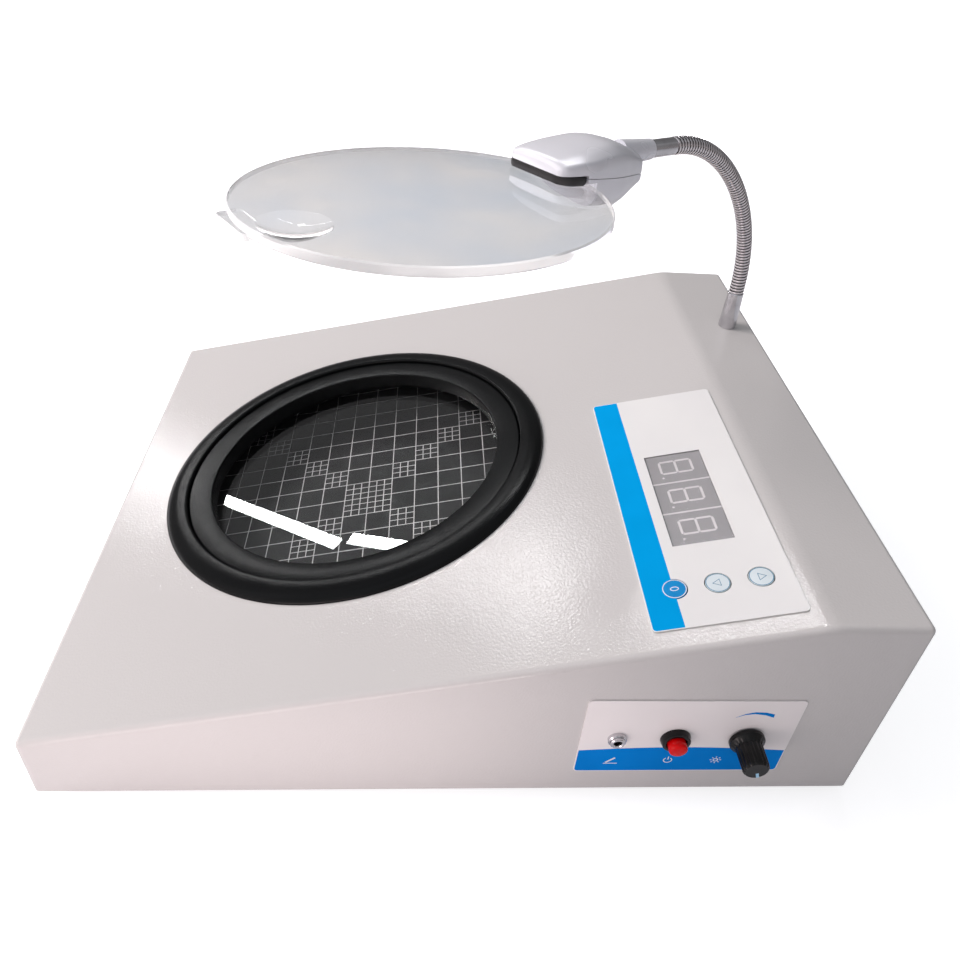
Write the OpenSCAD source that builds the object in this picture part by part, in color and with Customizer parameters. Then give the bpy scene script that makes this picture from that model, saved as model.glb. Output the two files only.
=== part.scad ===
// Digital colony counter: a wedge-shaped sheet-metal case with a lit counting
// well, a three-digit counter panel, side controls and a magnifier on a
// flexible wound neck. Millimetres. +Z is up, the user sits on the -Y side,
// and the origin is on the bench, midway between the four feet.

/* [Case] */
// Width of the case
case_w = 230; // [210:1:290]
// Depth of the case
case_d = 270; // [265:1:330]
// Height of the front wall
front_h = 25.2; // [24.8:0.1:40]
// Height of the rear wall
rear_h = 81.3; // [70:0.1:110]
// Depth of the level strip behind the slope
flat_d = 30.7; // [24:0.1:34]
// Thickness of the sheet metal
sheet = 1.2; // [0.8:0.1:1.6]
// Outside radius of the folded edges
fold_r = 2; // [1:0.1:3]
// Width of the inward flanges that the base is screwed to
flange_w = 10; // [8:0.5:14]

/* [Feet and fasteners] */
// Diameter of a rubber foot
foot_d = 16; // [10:0.5:22]
// Height of a rubber foot
foot_h = 5; // [3:0.5:10]
// Distance from the case side to a foot's centre
foot_inset_x = 20; // [19:0.5:40]
// Distance from the front or rear wall to a foot's centre
foot_inset_y = 20; // [14:0.5:40]
// Shank diameter of the small screws
screw_d = 3; // [2:0.1:4]
// Head height of the small screws
screw_head_h = 1.8; // [1:0.1:2.4]

/* [Counting well] */
// Distance from the front fold to the bezel ring
ring_margin = 20.5; // [16:0.1:26]
// Distance from the bezel ring to the counter panel
ring_gap = 21.6; // [18:0.1:28]
// Distance from the front fold to the lamp housing
drum_margin = 10.1; // [9:0.1:12]
// Height of the bezel ring above the slope
bezel_h = 3; // [2:0.1:5]
// Overlap of the bezel ring on the slope round its hole
bezel_lap = 6.5; // [5:0.1:8]
// Thickness of the bezel ring's spigot in the hole
spigot_t = 2.4; // [1.8:0.1:3]
// Width of the dish ring
dish_band = 8.3; // [6:0.1:10]
// Height of the dish ring's rounded band above the slope
dish_crown = 0.9; // [0.4:0.1:2]
// Depth of the glass below the slope
glass_depth = 5; // [4:0.1:7]
// Thickness of the glass
glass_t = 3; // [2:0.1:4]
// Thickness of the ledge that carries the glass
ledge_t = 2; // [1.5:0.1:3]
// Thickness of the grid plate
grid_t = 2; // [1.5:0.1:2.3]
// Wall thickness of the lamp housing
housing_t = 1.6; // [1.2:0.1:1.9]
// Number of lamp chips round the well
led_count = 36; // [12:1:48]
// Edge length of a lamp chip
led_size = 3; // [2:0.1:4]
// Thickness of the circuit boards
board_t = 1.6; // [1:0.1:2]

/* [Counter panel] */
// Width of the printed counter panel
panel_w = 115.7; // [110:0.1:130]
// Length of the counter panel up the slope
panel_l = 46.3; // [42:0.1:47]
// Distance from the right edge of the case to the counter panel
panel_margin = 7.8; // [6:0.1:12]
// Distance from the counter panel to the fold behind the slope
panel_back = 4.4; // [2:0.1:6]
// Thickness of the printed panels
film_t = 0.5; // [0.3:0.05:0.8]
// Corner radius of the printed panels
film_r = 1.5; // [1:0.1:4]
// Width of the display window
window_w = 46.2; // [42:0.1:50]
// Length of the display window up the slope
window_l = 20.3; // [18:0.1:23]
// Distance from the panel's left edge to the window
window_x = 36.6; // [20:0.1:42]
// Distance from the panel's lower edge to the window
window_s = 13.4; // [12:0.1:16]
// Number of display digits
digit_count = 3; // [2:1:4]
// Height of a display digit module
digit_h = 8; // [7.5:0.1:10]
// Diameter of a membrane key
key_d = 7.6; // [6:0.1:8.6]
// Distance from the panel's right edge to the keys
key_x = 15.2; // [10:0.1:18]
// Distance from the panel's lower edge to the first key
key_s = 9.9; // [8:0.1:11]
// Spacing of the keys up the slope
key_pitch = 13.3; // [11:0.1:13.6]
// Travel of a membrane key
key_travel = 0.4; // [0.2:0.05:0.6]
// Edge length of a tactile switch
tact_size = 6; // [4:0.1:7]

/* [Side panel] */
// Width of the printed side panel
side_w = 68.3; // [66:0.1:80]
// Height of the printed side panel
side_h = 37.7; // [32:0.1:39]
// Distance from the rear wall to the side panel
side_margin = 28.8; // [24:0.1:40]
// Height of the side panel's lower edge above the case bottom
side_z = 11; // [9:0.1:13]
// Height of the side controls above the case bottom
control_z = 29.4; // [27:0.1:32]
// Distance from the panel's rear edge to the knob
knob_y = 14.9; // [13:0.1:18]
// Distance from the panel's rear edge to the push button
push_y = 37.9; // [34:0.1:40]
// Distance from the panel's rear edge to the pen jack
jack_y = 56.7; // [53:0.1:59]
// Diameter of the knob's skirt
knob_skirt_d = 11.4; // [11.4:0.1:16]
// Diameter of the knob's grip
knob_d = 8.7; // [8.6:0.1:11]
// Reach of the knob beyond the case side
knob_reach = 12; // [10:0.1:20]
// Number of flutes round the knob
knob_flutes = 16; // [8:1:24]
// Diameter of the potentiometer shaft
shaft_d = 6; // [5:0.1:6.4]
// Diameter of the red push cap
push_d = 6; // [5:0.1:7]
// Reach of the push cap beyond the case side
push_reach = 5.6; // [5.4:0.1:9]
// Travel of the push cap
push_travel = 2.5; // [1:0.1:2.6]
// Bore of the pen jack
jack_bore = 2.6; // [2.4:0.1:3.6]

/* [Power inlet] */
// Distance from the case middle to the power inlet
inlet_x = 70; // [40:1:85]
// Height of the power inlet above the case bottom
inlet_z = 30; // [20:1:40]
// Bore of the power inlet
inlet_bore = 6.4; // [5.5:0.1:7]

/* [Flexible neck] */
// Distance from the case middle to the neck, towards the left
neck_x = 60.5; // [40:0.1:80]
// Distance from the rear wall to the neck
neck_y = 12; // [11:0.1:20]
// Turn of the neck's plane from straight forward towards the right
neck_yaw = 32.4; // [0:0.1:45]
// Height of the tapered base ferrule
ferrule_h = 17; // [12:0.1:30]
// Diameter of the base ferrule at the case
ferrule_d = 7.7; // [7.2:0.1:12]
// Diameter of the wound neck
neck_d = 6.4; // [5:0.1:7]
// Bore of the wound neck
neck_bore = 3; // [2:0.1:3.6]
// Rise of the neck above its ferrule
neck_rise = 71.1; // [60:0.1:110]
// Forward reach of the neck
neck_reach = 60.6; // [40:0.1:80]
// Lean of the neck towards the lens half way up, as a share of its reach
neck_lean = 0.09; // [0:0.01:0.15]
// Pitch of the neck's winding
wind_pitch = 1.45; // [1.2:0.05:3]
// Depth of the grooves between the turns
wind_depth = 0.45; // [0.2:0.05:0.6]

/* [Magnifier] */
// Radius of the lens
lens_r = 56; // [50:0.5:60]
// Thickness of the lens rim
rim_t = 3; // [2.6:0.1:5]
// Rise of the lens's upper face above its rim
lens_top = 2.6; // [2:0.1:3.4]
// Bulge of the lens's lower face below its rim
lens_under = 2.4; // [2:0.1:5]
// Radius of the small strong lens
spot_r = 11.5; // [8:0.5:14]
// Distance from the lens centre to the small strong lens
spot_y = 40; // [20:0.5:42]
// Distance from the lens rim to the end of the neck
head_l = 47.5; // [44:0.1:60]
// Half width of the magnifier head
head_w = 15.5; // [13:0.1:18]
// Length of the head's moulded shell
shell_l = 39.2; // [36:0.1:42]
// Reach of the head's jaw over the lens
jaw_lap = 15.2; // [12:0.1:17]
// Height of the head's crown above the lens
head_top = 13.1; // [11:0.1:15]
// Depth of the head's belly below the lens
head_belly = 9.5; // [8:0.1:12]
// Roll of the head about the neck's end
head_roll = -3.6; // [-10:0.1:10]
// Pitch of the head about the neck's end
head_pitch = -2; // [-6:0.1:4]
// Drop of the lens below the neck's end
lens_drop = 6.3; // [5:0.1:8]
// Width of the lens's finger tab
tab_w = 22; // [12:0.5:26]
// Thickness of the soft strip above the lens
trim_t = 2.6; // [1.8:0.1:3]

/* [Hidden] */
$fn = 64;
// Gap between pieces that move or are fitted past each other
gap = 0.3;
// Running clearance of the potentiometer shaft and slip fits
slip = 0.05;
// Overrun of a cut past the face that it opens
cut = 1;
// Tilt of the slope
slope_a = atan((rear_h - front_h) / (case_d - flat_d));
// Length of the slope
slope_l = (case_d - flat_d) / cos(slope_a);
// Height of the case bottom and of its top above the bench
bottom_z = foot_h;
top_z = foot_h + rear_h;
// Half sizes of the case
half_w = case_w / 2;
half_d = case_d / 2;
// Screw proportions
screw_head_d = 2 * screw_d;
screw_hole_d = screw_d + 2 * gap;
base_screw_l = 3 * sheet + screw_d;
head_recess_d = screw_head_d + 2 * gap;
foot_nut_d = 2.2 * screw_d;
foot_nut_t = 0.8 * screw_d;
foot_insert_l = 0.4 * foot_h;
// Well radii and levels, on the slope between the front fold and the counter panel
panel_s = slope_l - panel_l - panel_back;
well_s = (panel_s - ring_gap + ring_margin) / 2;
bezel_r = well_s - ring_margin;
well_hole_r = bezel_r - bezel_lap;
seam_r = well_hole_r - spigot_t;
dish_r = seam_r - dish_band;
ledge_r = dish_r + ledge_t;
ledge_z = -(glass_depth + glass_t);
glass_r = seam_r - 2 * gap;
base_clear = 0.4;
housing_r = well_s - drum_margin;
housing_bottom = -(front_h - sheet - base_clear + drum_margin * sin(slope_a)) / cos(slope_a);
grid_r = housing_r - housing_t - gap;
grid_depth = -housing_bottom - housing_t - grid_t;
led_post_l = 3;
led_post_d = 5;
led_board_in = well_hole_r + 1.5;
led_board_out = grid_r - 1;
led_board_z = -(sheet + led_post_l + board_t);
led_h = 1.2;
led_ring_r = (led_board_in + led_board_out) / 2;
// Counter panel places, in the slope's own frame
panel_x0 = half_w - panel_margin - panel_w;
key_px = half_w - panel_margin - key_x;
window_px = panel_x0 + window_x + window_w / 2;
window_ps = panel_s + window_s + window_l / 2;
board_z = -digit_h;
board_edge = 4;
board_post_d = 5;
board_post_inset = 5;
key_hole_d = key_d + 2 * gap;
key_proud = 0.12;
key_stem_d = 3;
tact_h = 3.5;
key_stem_z = board_z + tact_h + key_travel + gap;
// Side control places, measured from the rear wall
side_y0 = half_d - side_margin;
knob_bore_l = 8;
knob_foot = film_t + 0.4;
knob_cavity_d = 10;
knob_cavity_h = 3.6;
flute_d = 1.1;
pot_d = 16.5;
pot_l = 9;
bush_d = 7;
bush_l = film_t + 4;
pot_nut_d = 9;
pot_nut_t = 2;
push_bezel_d = 9.7;
push_bezel_t = 2.2;
push_barrel_d = 8.6;
push_barrel_l = 9;
push_body = 8;
push_recess_d = push_d + 4 * gap / 3;
push_recess_z = -5;
push_nut_d = 11;
push_nut_t = 2;
jack_d = 4.8;
jack_reach = 2.2;
jack_nut_d = 6;
jack_nut_t = 1.4;
jack_body_d = 6;
jack_l = 9;
// Power inlet proportions
inlet_d = 10.8;
inlet_flange_d = 13;
inlet_flange_t = 1.5;
inlet_l = 12;
inlet_nut_d = 15;
inlet_nut_t = 2;
inlet_pin_d = 2;
// Neck proportions
neck_joints = 10;
joint_gap = 0.9;
stud_d = 6;
stud_l = 9;
neck_nut_d = 11;
neck_nut_t = 3;
neck_sides = 12;
neck_r = neck_d / 2;
neck_top = ferrule_h + joint_gap / 2;
// Magnifier head places, measured from the lens centre out to the neck
lens_y = lens_r + head_l;
head_ferrule_l = 11.5;
head_ferrule_d = neck_d - 0.2;
collar_d = head_ferrule_d + 0.8;
collar_root_d = collar_d + 2;
collar_l = 15;
tongue_w = 18;
tongue_l = 10;
tongue_t = 2.8;
head_screw_x = tongue_w / 2 - 4;
head_screw_y = lens_r + tongue_l / 2;
head_screw_l = tongue_t + 3 * screw_d;
jaw_y = lens_r - jaw_lap;
strip_l = 9.6;
strip_y = jaw_y + strip_l;
trim_z = rim_t / 2 + lens_top * (1 - pow(jaw_y / lens_r, 2)) + gap;
seam_tilt = -5.9;
seam_z = trim_z + trim_t;
spot_under = 2 * lens_under;
tab_x = -6;
tab_l = 1.2;
tab_t = 2;

// Stations of the head's shell, as shares of its length, half width, crown and belly
head_stations = [
    [0, 0.74, 0.61, 0.02], [0.025, 0.84, 0.72, 0.20], [0.09, 0.92, 0.79, 0.50],
    [0.28, 1.00, 0.90, 0.85], [0.56, 0.93, 1.00, 1.00], [0.75, 0.80, 0.92, 0.85],
    [0.90, 0.66, 0.75, 0.55], [1, 0.58, 0.62, 0.32]];
// Right half of the crown's section, as shares of the half width and of the height above the seam
crown_section = [[1, 0], [1, 0.30], [0.985, 0.52], [0.93, 0.68], [0.78, 0.82], [0.60, 0.92], [0.35, 0.98]];
head_scale = [shell_l, head_w, head_top, -head_belly];
head_sides = 16;
head_fine = 3;
head_soft = 0.62;
// Corners of the circuit board behind the counter panel
board_x0 = window_px - window_w / 2 - 3 * board_post_inset;
board_x1 = half_w - panel_margin - board_edge;
board_s0 = panel_s + board_edge / 2;
board_s1 = panel_s + panel_l - board_edge / 2;

// Frames

// The slope: X to the right, Y up the slope, Z out of the metal
module on_slope()
    translate([0, -half_d, bottom_z + front_h]) rotate([slope_a, 0, 0]) children();

// The centre of the counting well on the slope
module on_well()
    on_slope() translate([0, well_s, 0]) children();

// The right side: X towards the rear, Y up, Z out of the metal
module on_side(back, up)
    translate([half_w, side_y0 - back, bottom_z + up]) rotate([90, 0, 90]) children();

// The rear wall: X to the left, Y up, Z out of the metal
module on_rear(left, up)
    translate([-left, half_d, bottom_z + up]) rotate([90, 0, 180]) children();

// The neck's foot on the level strip, with -Y along the neck's plane
module on_neck()
    translate([-neck_x, half_d - neck_y, top_z]) rotate([0, 0, neck_yaw]) children();

// The lens centre, with +Y back towards the neck
module on_lens()
    on_neck()
        translate([0, -neck_reach, neck_top + neck_rise])
        rotate([0, head_roll, 0]) rotate([head_pitch, 0, 0])
        translate([0, -lens_y, -lens_drop])
        children();

// Shapes that repeat

// Cylinder from one level to another
module post(d, z0, z1)
    translate([0, 0, z0]) cylinder(d = d, h = z1 - z0);

// Hollow cylinder from one level to another
module sleeve(d, bore, z0, z1)
    difference() {
        post(d, z0, z1);
        post(bore, z0 - cut, z1 + cut);
    }

// Flat plate with rounded corners, from its lower left corner
module film(w, l, t, r)
    linear_extrude(t) {
        translate([r, 0]) square([w - 2 * r, l]);
        translate([0, r]) square([w, l - 2 * r]);
        for (x = [r, w - r], y = [r, l - r])
            translate([x, y]) circle(r);
    }

// Hexagonal nut with a clearance hole
module hex_nut(d, bore, z0, t)
    translate([0, 0, z0]) difference() {
        cylinder(d = d, h = t, $fn = 6);
        translate([0, 0, -cut]) cylinder(d = bore, h = t + 2 * cut);
    }

// Pan-head screw standing on its head, shank up
module screw(shank_l) {
    post(screw_head_d, -screw_head_h, 0);
    post(screw_d, -cut / 4, shank_l);
}

// Four places mirrored about both axes
module at_corners(x, y)
    for (sx = [-1, 1], sy = [-1, 1])
        translate([sx * x, sy * y, 0]) children();

// Places of the base screws along both flanges
module at_base_screws()
    for (sx = [-1, 1], k = [-1, 0, 1])
        translate([sx * (half_w - sheet - flange_w / 2), k * (half_d - 2 * flange_w), 0]) children();

// Points of a rounded corner between two edges of an outline
function fillet(a, b, c, r, n = 6) =
    let (u = (a - b) / norm(a - b), v = (c - b) / norm(c - b),
         half = acos(u * v) / 2, centre = b + (u + v) / norm(u + v) * r / sin(half),
         p = b + u * r / tan(half) - centre, q = b + v * r / tan(half) - centre,
         turn = acos(p * q / r / r), side = sign(p[0] * q[1] - p[1] * q[0]))
    [for (k = [0 : n])
        let (w = side * turn * k / n)
        centre + [p[0] * cos(w) - p[1] * sin(w), p[0] * sin(w) + p[1] * cos(w)]];

// Case

// Side outline of the wedge, drawn in by one wall thickness or none
function wedge(inset, floor_z) =
    let (drop = inset / cos(slope_a), ya = -half_d + inset, yb = half_d - inset,
         za = front_h + inset * tan(slope_a) - drop,
         yk = half_d - flat_d + (drop - inset) / tan(slope_a))
    [[ya, floor_z], [ya, za], [yk, rear_h - inset], [yb, rear_h - inset], [yb, floor_z]];

// Cutter that rounds a straight edge along +Y, with the metal at -X and -Z
module edge_cutter(l)
    translate([-fold_r, 0, -fold_r]) rotate([-90, 0, 0])
        linear_extrude(l) mirror([0, 1]) difference() {
            square(fold_r + cut);
            circle(fold_r);
        }

// Solid wedge with every folded edge rounded
module case_outside() {
    w = wedge(0, 0);
    outline = concat([w[0]], fillet(w[0], w[1], w[2], fold_r), [w[2]],
                     fillet(w[2], w[3], w[4], fold_r), [w[4]]);
    difference() {
        translate([-half_w, 0, bottom_z]) rotate([90, 0, 90])
            linear_extrude(case_w) polygon(outline);
        for (s = [0, 1]) mirror([s, 0, 0]) {
            on_slope() translate([half_w, -case_d, 0]) edge_cutter(case_d + norm(w[2] - w[1]));
            translate([half_w, half_d - flat_d, top_z]) edge_cutter(flat_d + cut);
            for (t = [0, 1]) mirror([0, t, 0])
                translate([half_w - fold_r, half_d - fold_r, bottom_z - cut])
                    linear_extrude(rear_h + 2 * cut) difference() {
                        square(fold_r + cut);
                        circle(fold_r);
                    }
        }
    }
}

// Folded cover: slope, level strip and four walls, with flanges for the base
module case_shell() color("#d2cdcc") {
    difference() {
        case_outside();
        translate([sheet - half_w, 0, bottom_z]) rotate([90, 0, 90])
            linear_extrude(case_w - 2 * sheet) polygon(wedge(sheet, -cut));
        on_well() post(2 * well_hole_r, -2 * sheet, cut);
        on_slope() {
            translate([window_px - window_w / 2, window_ps - window_l / 2, -2 * sheet])
                cube([window_w, window_l, 2 * sheet + cut]);
            for (k = [0 : 2]) at_key(k) post(key_hole_d, -2 * sheet, cut);
        }
        on_side(knob_y, control_z) post(bush_d + 2 * slip, -2 * sheet, cut);
        on_side(push_y, control_z) post(push_barrel_d + 2 * slip, -2 * sheet, cut);
        on_side(jack_y, control_z) post(jack_d + 2 * slip, -2 * sheet, cut);
        on_rear(inlet_x, inlet_z) post(inlet_d + 2 * slip, -2 * sheet, cut);
        on_neck() post(stud_d + 2 * slip, -2 * sheet, cut);
    }
    difference() {
        for (s = [-1, 1])
            translate([s * (half_w - sheet / 2 - flange_w / 2), 0, bottom_z + 3 * sheet / 2])
                cube([flange_w + sheet, case_d - 4 * sheet, sheet], center = true);
        at_base_screws() post(screw_d + 2 * slip, bottom_z, bottom_z + 3 * sheet);
    }
}

// Flat base inside the walls, screwed up into the flanges
module base_plate() color("#bdb7b5")
    difference() {
        translate([gap + sheet - half_w, gap + sheet - half_d, bottom_z])
            cube([case_w - 2 * (sheet + gap), case_d - 2 * (sheet + gap), sheet]);
        at_base_screws() post(screw_hole_d, bottom_z - cut, bottom_z + sheet + cut);
        at_feet() post(screw_d + 2 * slip, bottom_z - cut, bottom_z + sheet + cut);
    }

module base_screws() color("silver")
    at_base_screws() translate([0, 0, bottom_z]) screw(base_screw_l);

// Places of the four feet
module at_feet()
    at_corners(half_w - foot_inset_x, half_d - foot_inset_y) children();

// Rubber feet, each moulded round the end of its stud
module feet() color("#262626")
    at_feet() difference() {
        post(foot_d, 0, foot_h);
        post(screw_d, foot_h - foot_insert_l, foot_h + cut);
    }

// Studs that hold the feet, with their nuts inside the case
module foot_screws() color("silver")
    at_feet() {
        post(screw_d, foot_h - foot_insert_l, foot_h + sheet + foot_nut_t + cut);
        translate([0, 0, foot_h + sheet]) cylinder(d = foot_nut_d, h = foot_nut_t, $fn = 6);
    }

// Counting well

// Outer ring: a rounded flange on the slope, a spigot and the glass ledge
module bezel_ring() color("#141414")
    on_well() rotate_extrude($fn = 96)
        polygon(concat(
            [[well_hole_r - gap, 0], [well_hole_r - gap, ledge_z - ledge_t], [ledge_r, ledge_z - ledge_t],
             [ledge_r, ledge_z], [seam_r, ledge_z]],
            [for (t = [0 : 15 : 180])
                [(bezel_r + seam_r) / 2 - (bezel_r - seam_r) / 2 * cos(t), bezel_h * sin(t)]]));

// Inner ring that a culture dish is set into, resting on the glass
module dish_ring() color("#1a1a1a")
    on_well() rotate_extrude($fn = 96)
        polygon(concat(
            [[dish_r, -glass_depth], [seam_r - gap, -glass_depth]],
            [for (t = [0 : 20 : 180])
                [(seam_r - gap + dish_r) / 2 + (seam_r - gap - dish_r) / 2 * cos(t), dish_crown * sin(t)]]));

module glass_plate() color([0.75, 0.85, 0.85, 0.35])
    on_well() post(2 * glass_r, ledge_z, -glass_depth);

module grid_plate() color("#0c0c0e")
    on_well() post(2 * grid_r, -(grid_depth + grid_t), -grid_depth);

// Round drum under the slope, with a ledge that carries the grid plate
module lamp_housing() color("#1c1c1e")
    on_well() rotate_extrude($fn = 96)
        polygon([[housing_r, -sheet], [housing_r, housing_bottom], [grid_r - 2 * housing_t, housing_bottom],
                 [grid_r - 2 * housing_t, housing_bottom + housing_t],
                 [grid_r + gap, housing_bottom + housing_t], [grid_r + gap, -sheet]]);

module led_board() color("#1f6b3a")
    on_well() translate([0, 0, led_board_z]) linear_extrude(board_t) difference() {
        circle(led_board_out, $fn = 96);
        circle(led_board_in, $fn = 96);
    }

module led_chips() color("#f4f0c8")
    on_well() for (k = [0 : led_count - 1])
        rotate([0, 0, 360 * k / led_count]) translate([led_ring_r, 0, led_board_z - led_h / 2])
            cube([led_size, led_size, led_h], center = true);

module led_posts() color("silver")
    on_well() for (k = [0 : 3])
        rotate([0, 0, 45 + 90 * k]) translate([led_ring_r, 0, 0])
            post(led_post_d, led_board_z + board_t, -sheet);

// Counter panel

// Place of one membrane key on the slope
module at_key(k)
    translate([key_px, panel_s + key_s + k * key_pitch, 0]) children();

module counter_panel() color("#f2f4f6")
    on_slope() difference() {
        translate([panel_x0, panel_s, 0]) film(panel_w, panel_l, film_t, film_r);
        translate([window_px - window_w / 2, window_ps - window_l / 2, -cut])
            cube([window_w, window_l, film_t + 2 * cut]);
        for (k = [0 : 2]) at_key(k) post(key_hole_d, -cut, film_t + cut);
    }

// Raised key face with the stem that works its switch
module membrane_key(k)
    on_slope() at_key(k) {
        post(key_d, -sheet, film_t + key_proud);
        post(key_stem_d, key_stem_z, -sheet);
    }

module key_reset() color("#0b8fd6") membrane_key(0);
module key_down() color("#f2f4f6") membrane_key(1);
module key_up() color("#f2f4f6") membrane_key(2);

module tact_switches() color("#202020")
    on_slope() for (k = [0 : 2]) at_key(k) {
        translate([-tact_size / 2, -tact_size / 2, board_z]) cube([tact_size, tact_size, tact_h - gap]);
        post(key_stem_d, board_z, board_z + tact_h);
    }

// Clear cover let into the panel's window
module display_window() color([0.7, 0.7, 0.72, 0.4])
    on_slope() translate([window_px - window_w / 2 + slip, window_ps - window_l / 2 + slip, 0])
        cube([window_w - 2 * slip, window_l - 2 * slip, film_t - 2 * slip]);

// Row of seven-segment modules that stand in the window
module display_digits() color("#9a9799")
    on_slope() translate([window_px - window_w / 2, window_ps - window_l / 2, -digit_h])
        for (k = [0 : digit_count - 1])
            translate([k * window_w / digit_count + gap, gap, 0])
                cube([window_w / digit_count - 2 * gap, window_l - 2 * gap, digit_h]);

module counter_board() color("#1f6b3a")
    on_slope() translate([board_x0, board_s0, board_z - board_t])
        cube([board_x1 - board_x0, board_s1 - board_s0, board_t]);

module board_posts() color("silver")
    on_slope() for (x = [board_x0 + board_post_inset, board_x1 - board_post_inset / 2 - 1],
                    y = [board_s0 + board_post_inset / 2 + 1, board_s1 - board_post_inset / 2 - 1])
        translate([x, y, 0]) post(board_post_d, board_z, -sheet);

// Side controls

module side_panel() color("#f2f4f6")
    difference() {
        on_side(side_w, side_z) film(side_w, side_h, film_t, film_r);
        on_side(knob_y, control_z) post(bush_d + 2 * gap, -cut, film_t + cut);
        on_side(push_y, control_z) post(push_barrel_d + 2 * gap, -cut, film_t + cut);
        on_side(jack_y, control_z) post(jack_d + 2 * gap, -cut, film_t + cut);
    }

// Socket for the counting pen: threaded sleeve and body
module pen_jack() color("silver")
    on_side(jack_y, control_z) difference() {
        union() {
            post(jack_d, -jack_l, film_t + jack_reach);
            post(jack_body_d, -jack_l, -sheet);
        }
        post(jack_bore, -jack_l + sheet, film_t + jack_reach + cut);
    }

module pen_jack_nut() color("silver")
    on_side(jack_y, control_z) sleeve(jack_nut_d, jack_d + 2 * slip, film_t, film_t + jack_nut_t);

// Push switch: bezel outside, barrel through the wall, contact block inside
module push_switch() color("#181818")
    on_side(push_y, control_z) difference() {
        union() {
            post(push_bezel_d, film_t, film_t + push_bezel_t);
            post(push_barrel_d, -push_barrel_l, film_t);
            translate([-push_body / 2, -push_body / 2, -push_barrel_l - push_body])
                cube(push_body);
        }
        post(push_recess_d, push_recess_z, film_t + push_bezel_t + cut);
    }

module push_switch_nut() color("silver")
    on_side(push_y, control_z) hex_nut(push_nut_d, push_barrel_d + 2 * slip, -sheet - push_nut_t, push_nut_t);

// Red cap with a softly domed face
module push_cap() color("#d6202a")
    on_side(push_y, control_z) rotate_extrude()
        polygon(concat(
            [[0, push_recess_z + push_travel + gap], [push_d / 2, push_recess_z + push_travel + gap]],
            [for (t = [0 : 15 : 90])
                [push_d / 2 - (1 - cos(t)) * push_d / 2, push_reach - 1 + sin(t)]]));

module potentiometer() color("#6f6f72")
    on_side(knob_y, control_z) difference() {
        union() {
            post(pot_d, -sheet - pot_l, -sheet);
            post(bush_d, -sheet - cut, bush_l);
        }
        post(shaft_d + 2 * slip, -sheet - pot_l / 2, bush_l + cut);
    }

module pot_nut() color("silver")
    on_side(knob_y, control_z) sleeve(pot_nut_d, bush_d + 2 * slip, film_t, film_t + pot_nut_t);

module pot_shaft() color("silver")
    on_side(knob_y, control_z) post(shaft_d, -sheet - pot_l / 2 + gap, knob_bore_l + knob_foot);

// Fluted knob: skirt, fluted grip, hollow underside and shaft bore
module knob() color("#121212")
    on_side(knob_y, control_z) difference() {
        union() {
            post(knob_skirt_d, knob_foot, knob_foot + knob_cavity_h / 2);
            translate([0, 0, knob_foot + knob_cavity_h / 2])
                cylinder(d1 = knob_skirt_d, d2 = knob_d, h = knob_cavity_h / 2);
            translate([0, 0, knob_foot + knob_cavity_h])
                linear_extrude(knob_reach - knob_foot - knob_cavity_h) difference() {
                    circle(d = knob_d);
                    for (k = [0 : knob_flutes - 1])
                        rotate(360 * (k + 0.5) / knob_flutes) translate([knob_d / 2 + flute_d / 5, 0])
                            circle(d = flute_d);
                }
        }
        post(knob_cavity_d, 0, knob_foot + knob_cavity_h / 2);
        post(bush_d + 2 * gap, 0, bush_l + gap);
        post(shaft_d + slip, 0, knob_bore_l + knob_foot + gap);
    }

// Power inlet in the rear wall

module power_inlet() color("#161616")
    on_rear(inlet_x, inlet_z) {
        difference() {
            union() {
                post(inlet_flange_d, 0, inlet_flange_t);
                post(inlet_d, -inlet_l, inlet_flange_t);
            }
            post(inlet_bore, -inlet_l + sheet, inlet_flange_t + cut);
        }
        post(inlet_pin_d, -inlet_l, -sheet);
    }

module power_inlet_nut() color("silver")
    on_rear(inlet_x, inlet_z) hex_nut(inlet_nut_d, inlet_d + 2 * slip, -sheet - inlet_nut_t, inlet_nut_t);

// Flexible neck

// Tapered base ferrule with its threaded stud
module neck_ferrule() color("#c9c9cc")
    on_neck() difference() {
        union() {
            cylinder(d1 = ferrule_d, d2 = neck_d + 0.2, h = ferrule_h);
            post(stud_d, -stud_l, cut);
        }
        post(neck_bore, -stud_l - cut, ferrule_h + cut);
    }

module neck_nut() color("silver")
    on_neck() hex_nut(neck_nut_d, stud_d + 2 * slip, -sheet - neck_nut_t, neck_nut_t);

// The neck's centre line is a leaning quarter ellipse: upright at its foot, level at its end
function neck_point(t) =
    [0, -neck_reach * (1 - cos(t) + neck_lean * pow(sin(t), 2) * cos(t)), neck_top + neck_rise * sin(t)];
function neck_run(t) =
    [0, -neck_reach * sin(t) * (1 + neck_lean * (3 * pow(cos(t), 2) - 1)), neck_rise * cos(t)];
function neck_tangent(t) = neck_run(t) / norm(neck_run(t));
function neck_speed(t) = norm(neck_run(t)) * PI / 180;

// One ring of points round the centre line
function neck_ring(t, r) =
    let (p = neck_point(t), w = neck_tangent(t), v = [0, -w[2], w[1]])
    [for (k = [0 : neck_sides - 1])
        p + r * cos(360 * k / neck_sides) * [1, 0, 0] + r * sin(360 * k / neck_sides) * v];

// Triangles between two neighbouring rings, given the index of their first points
function ring_band(a, b) =
    [for (k = [0 : neck_sides - 1])
        let (n = (k + 1) % neck_sides) each [[a + k, b + n, b + k], [a + k, a + n, b + n]]];

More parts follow.
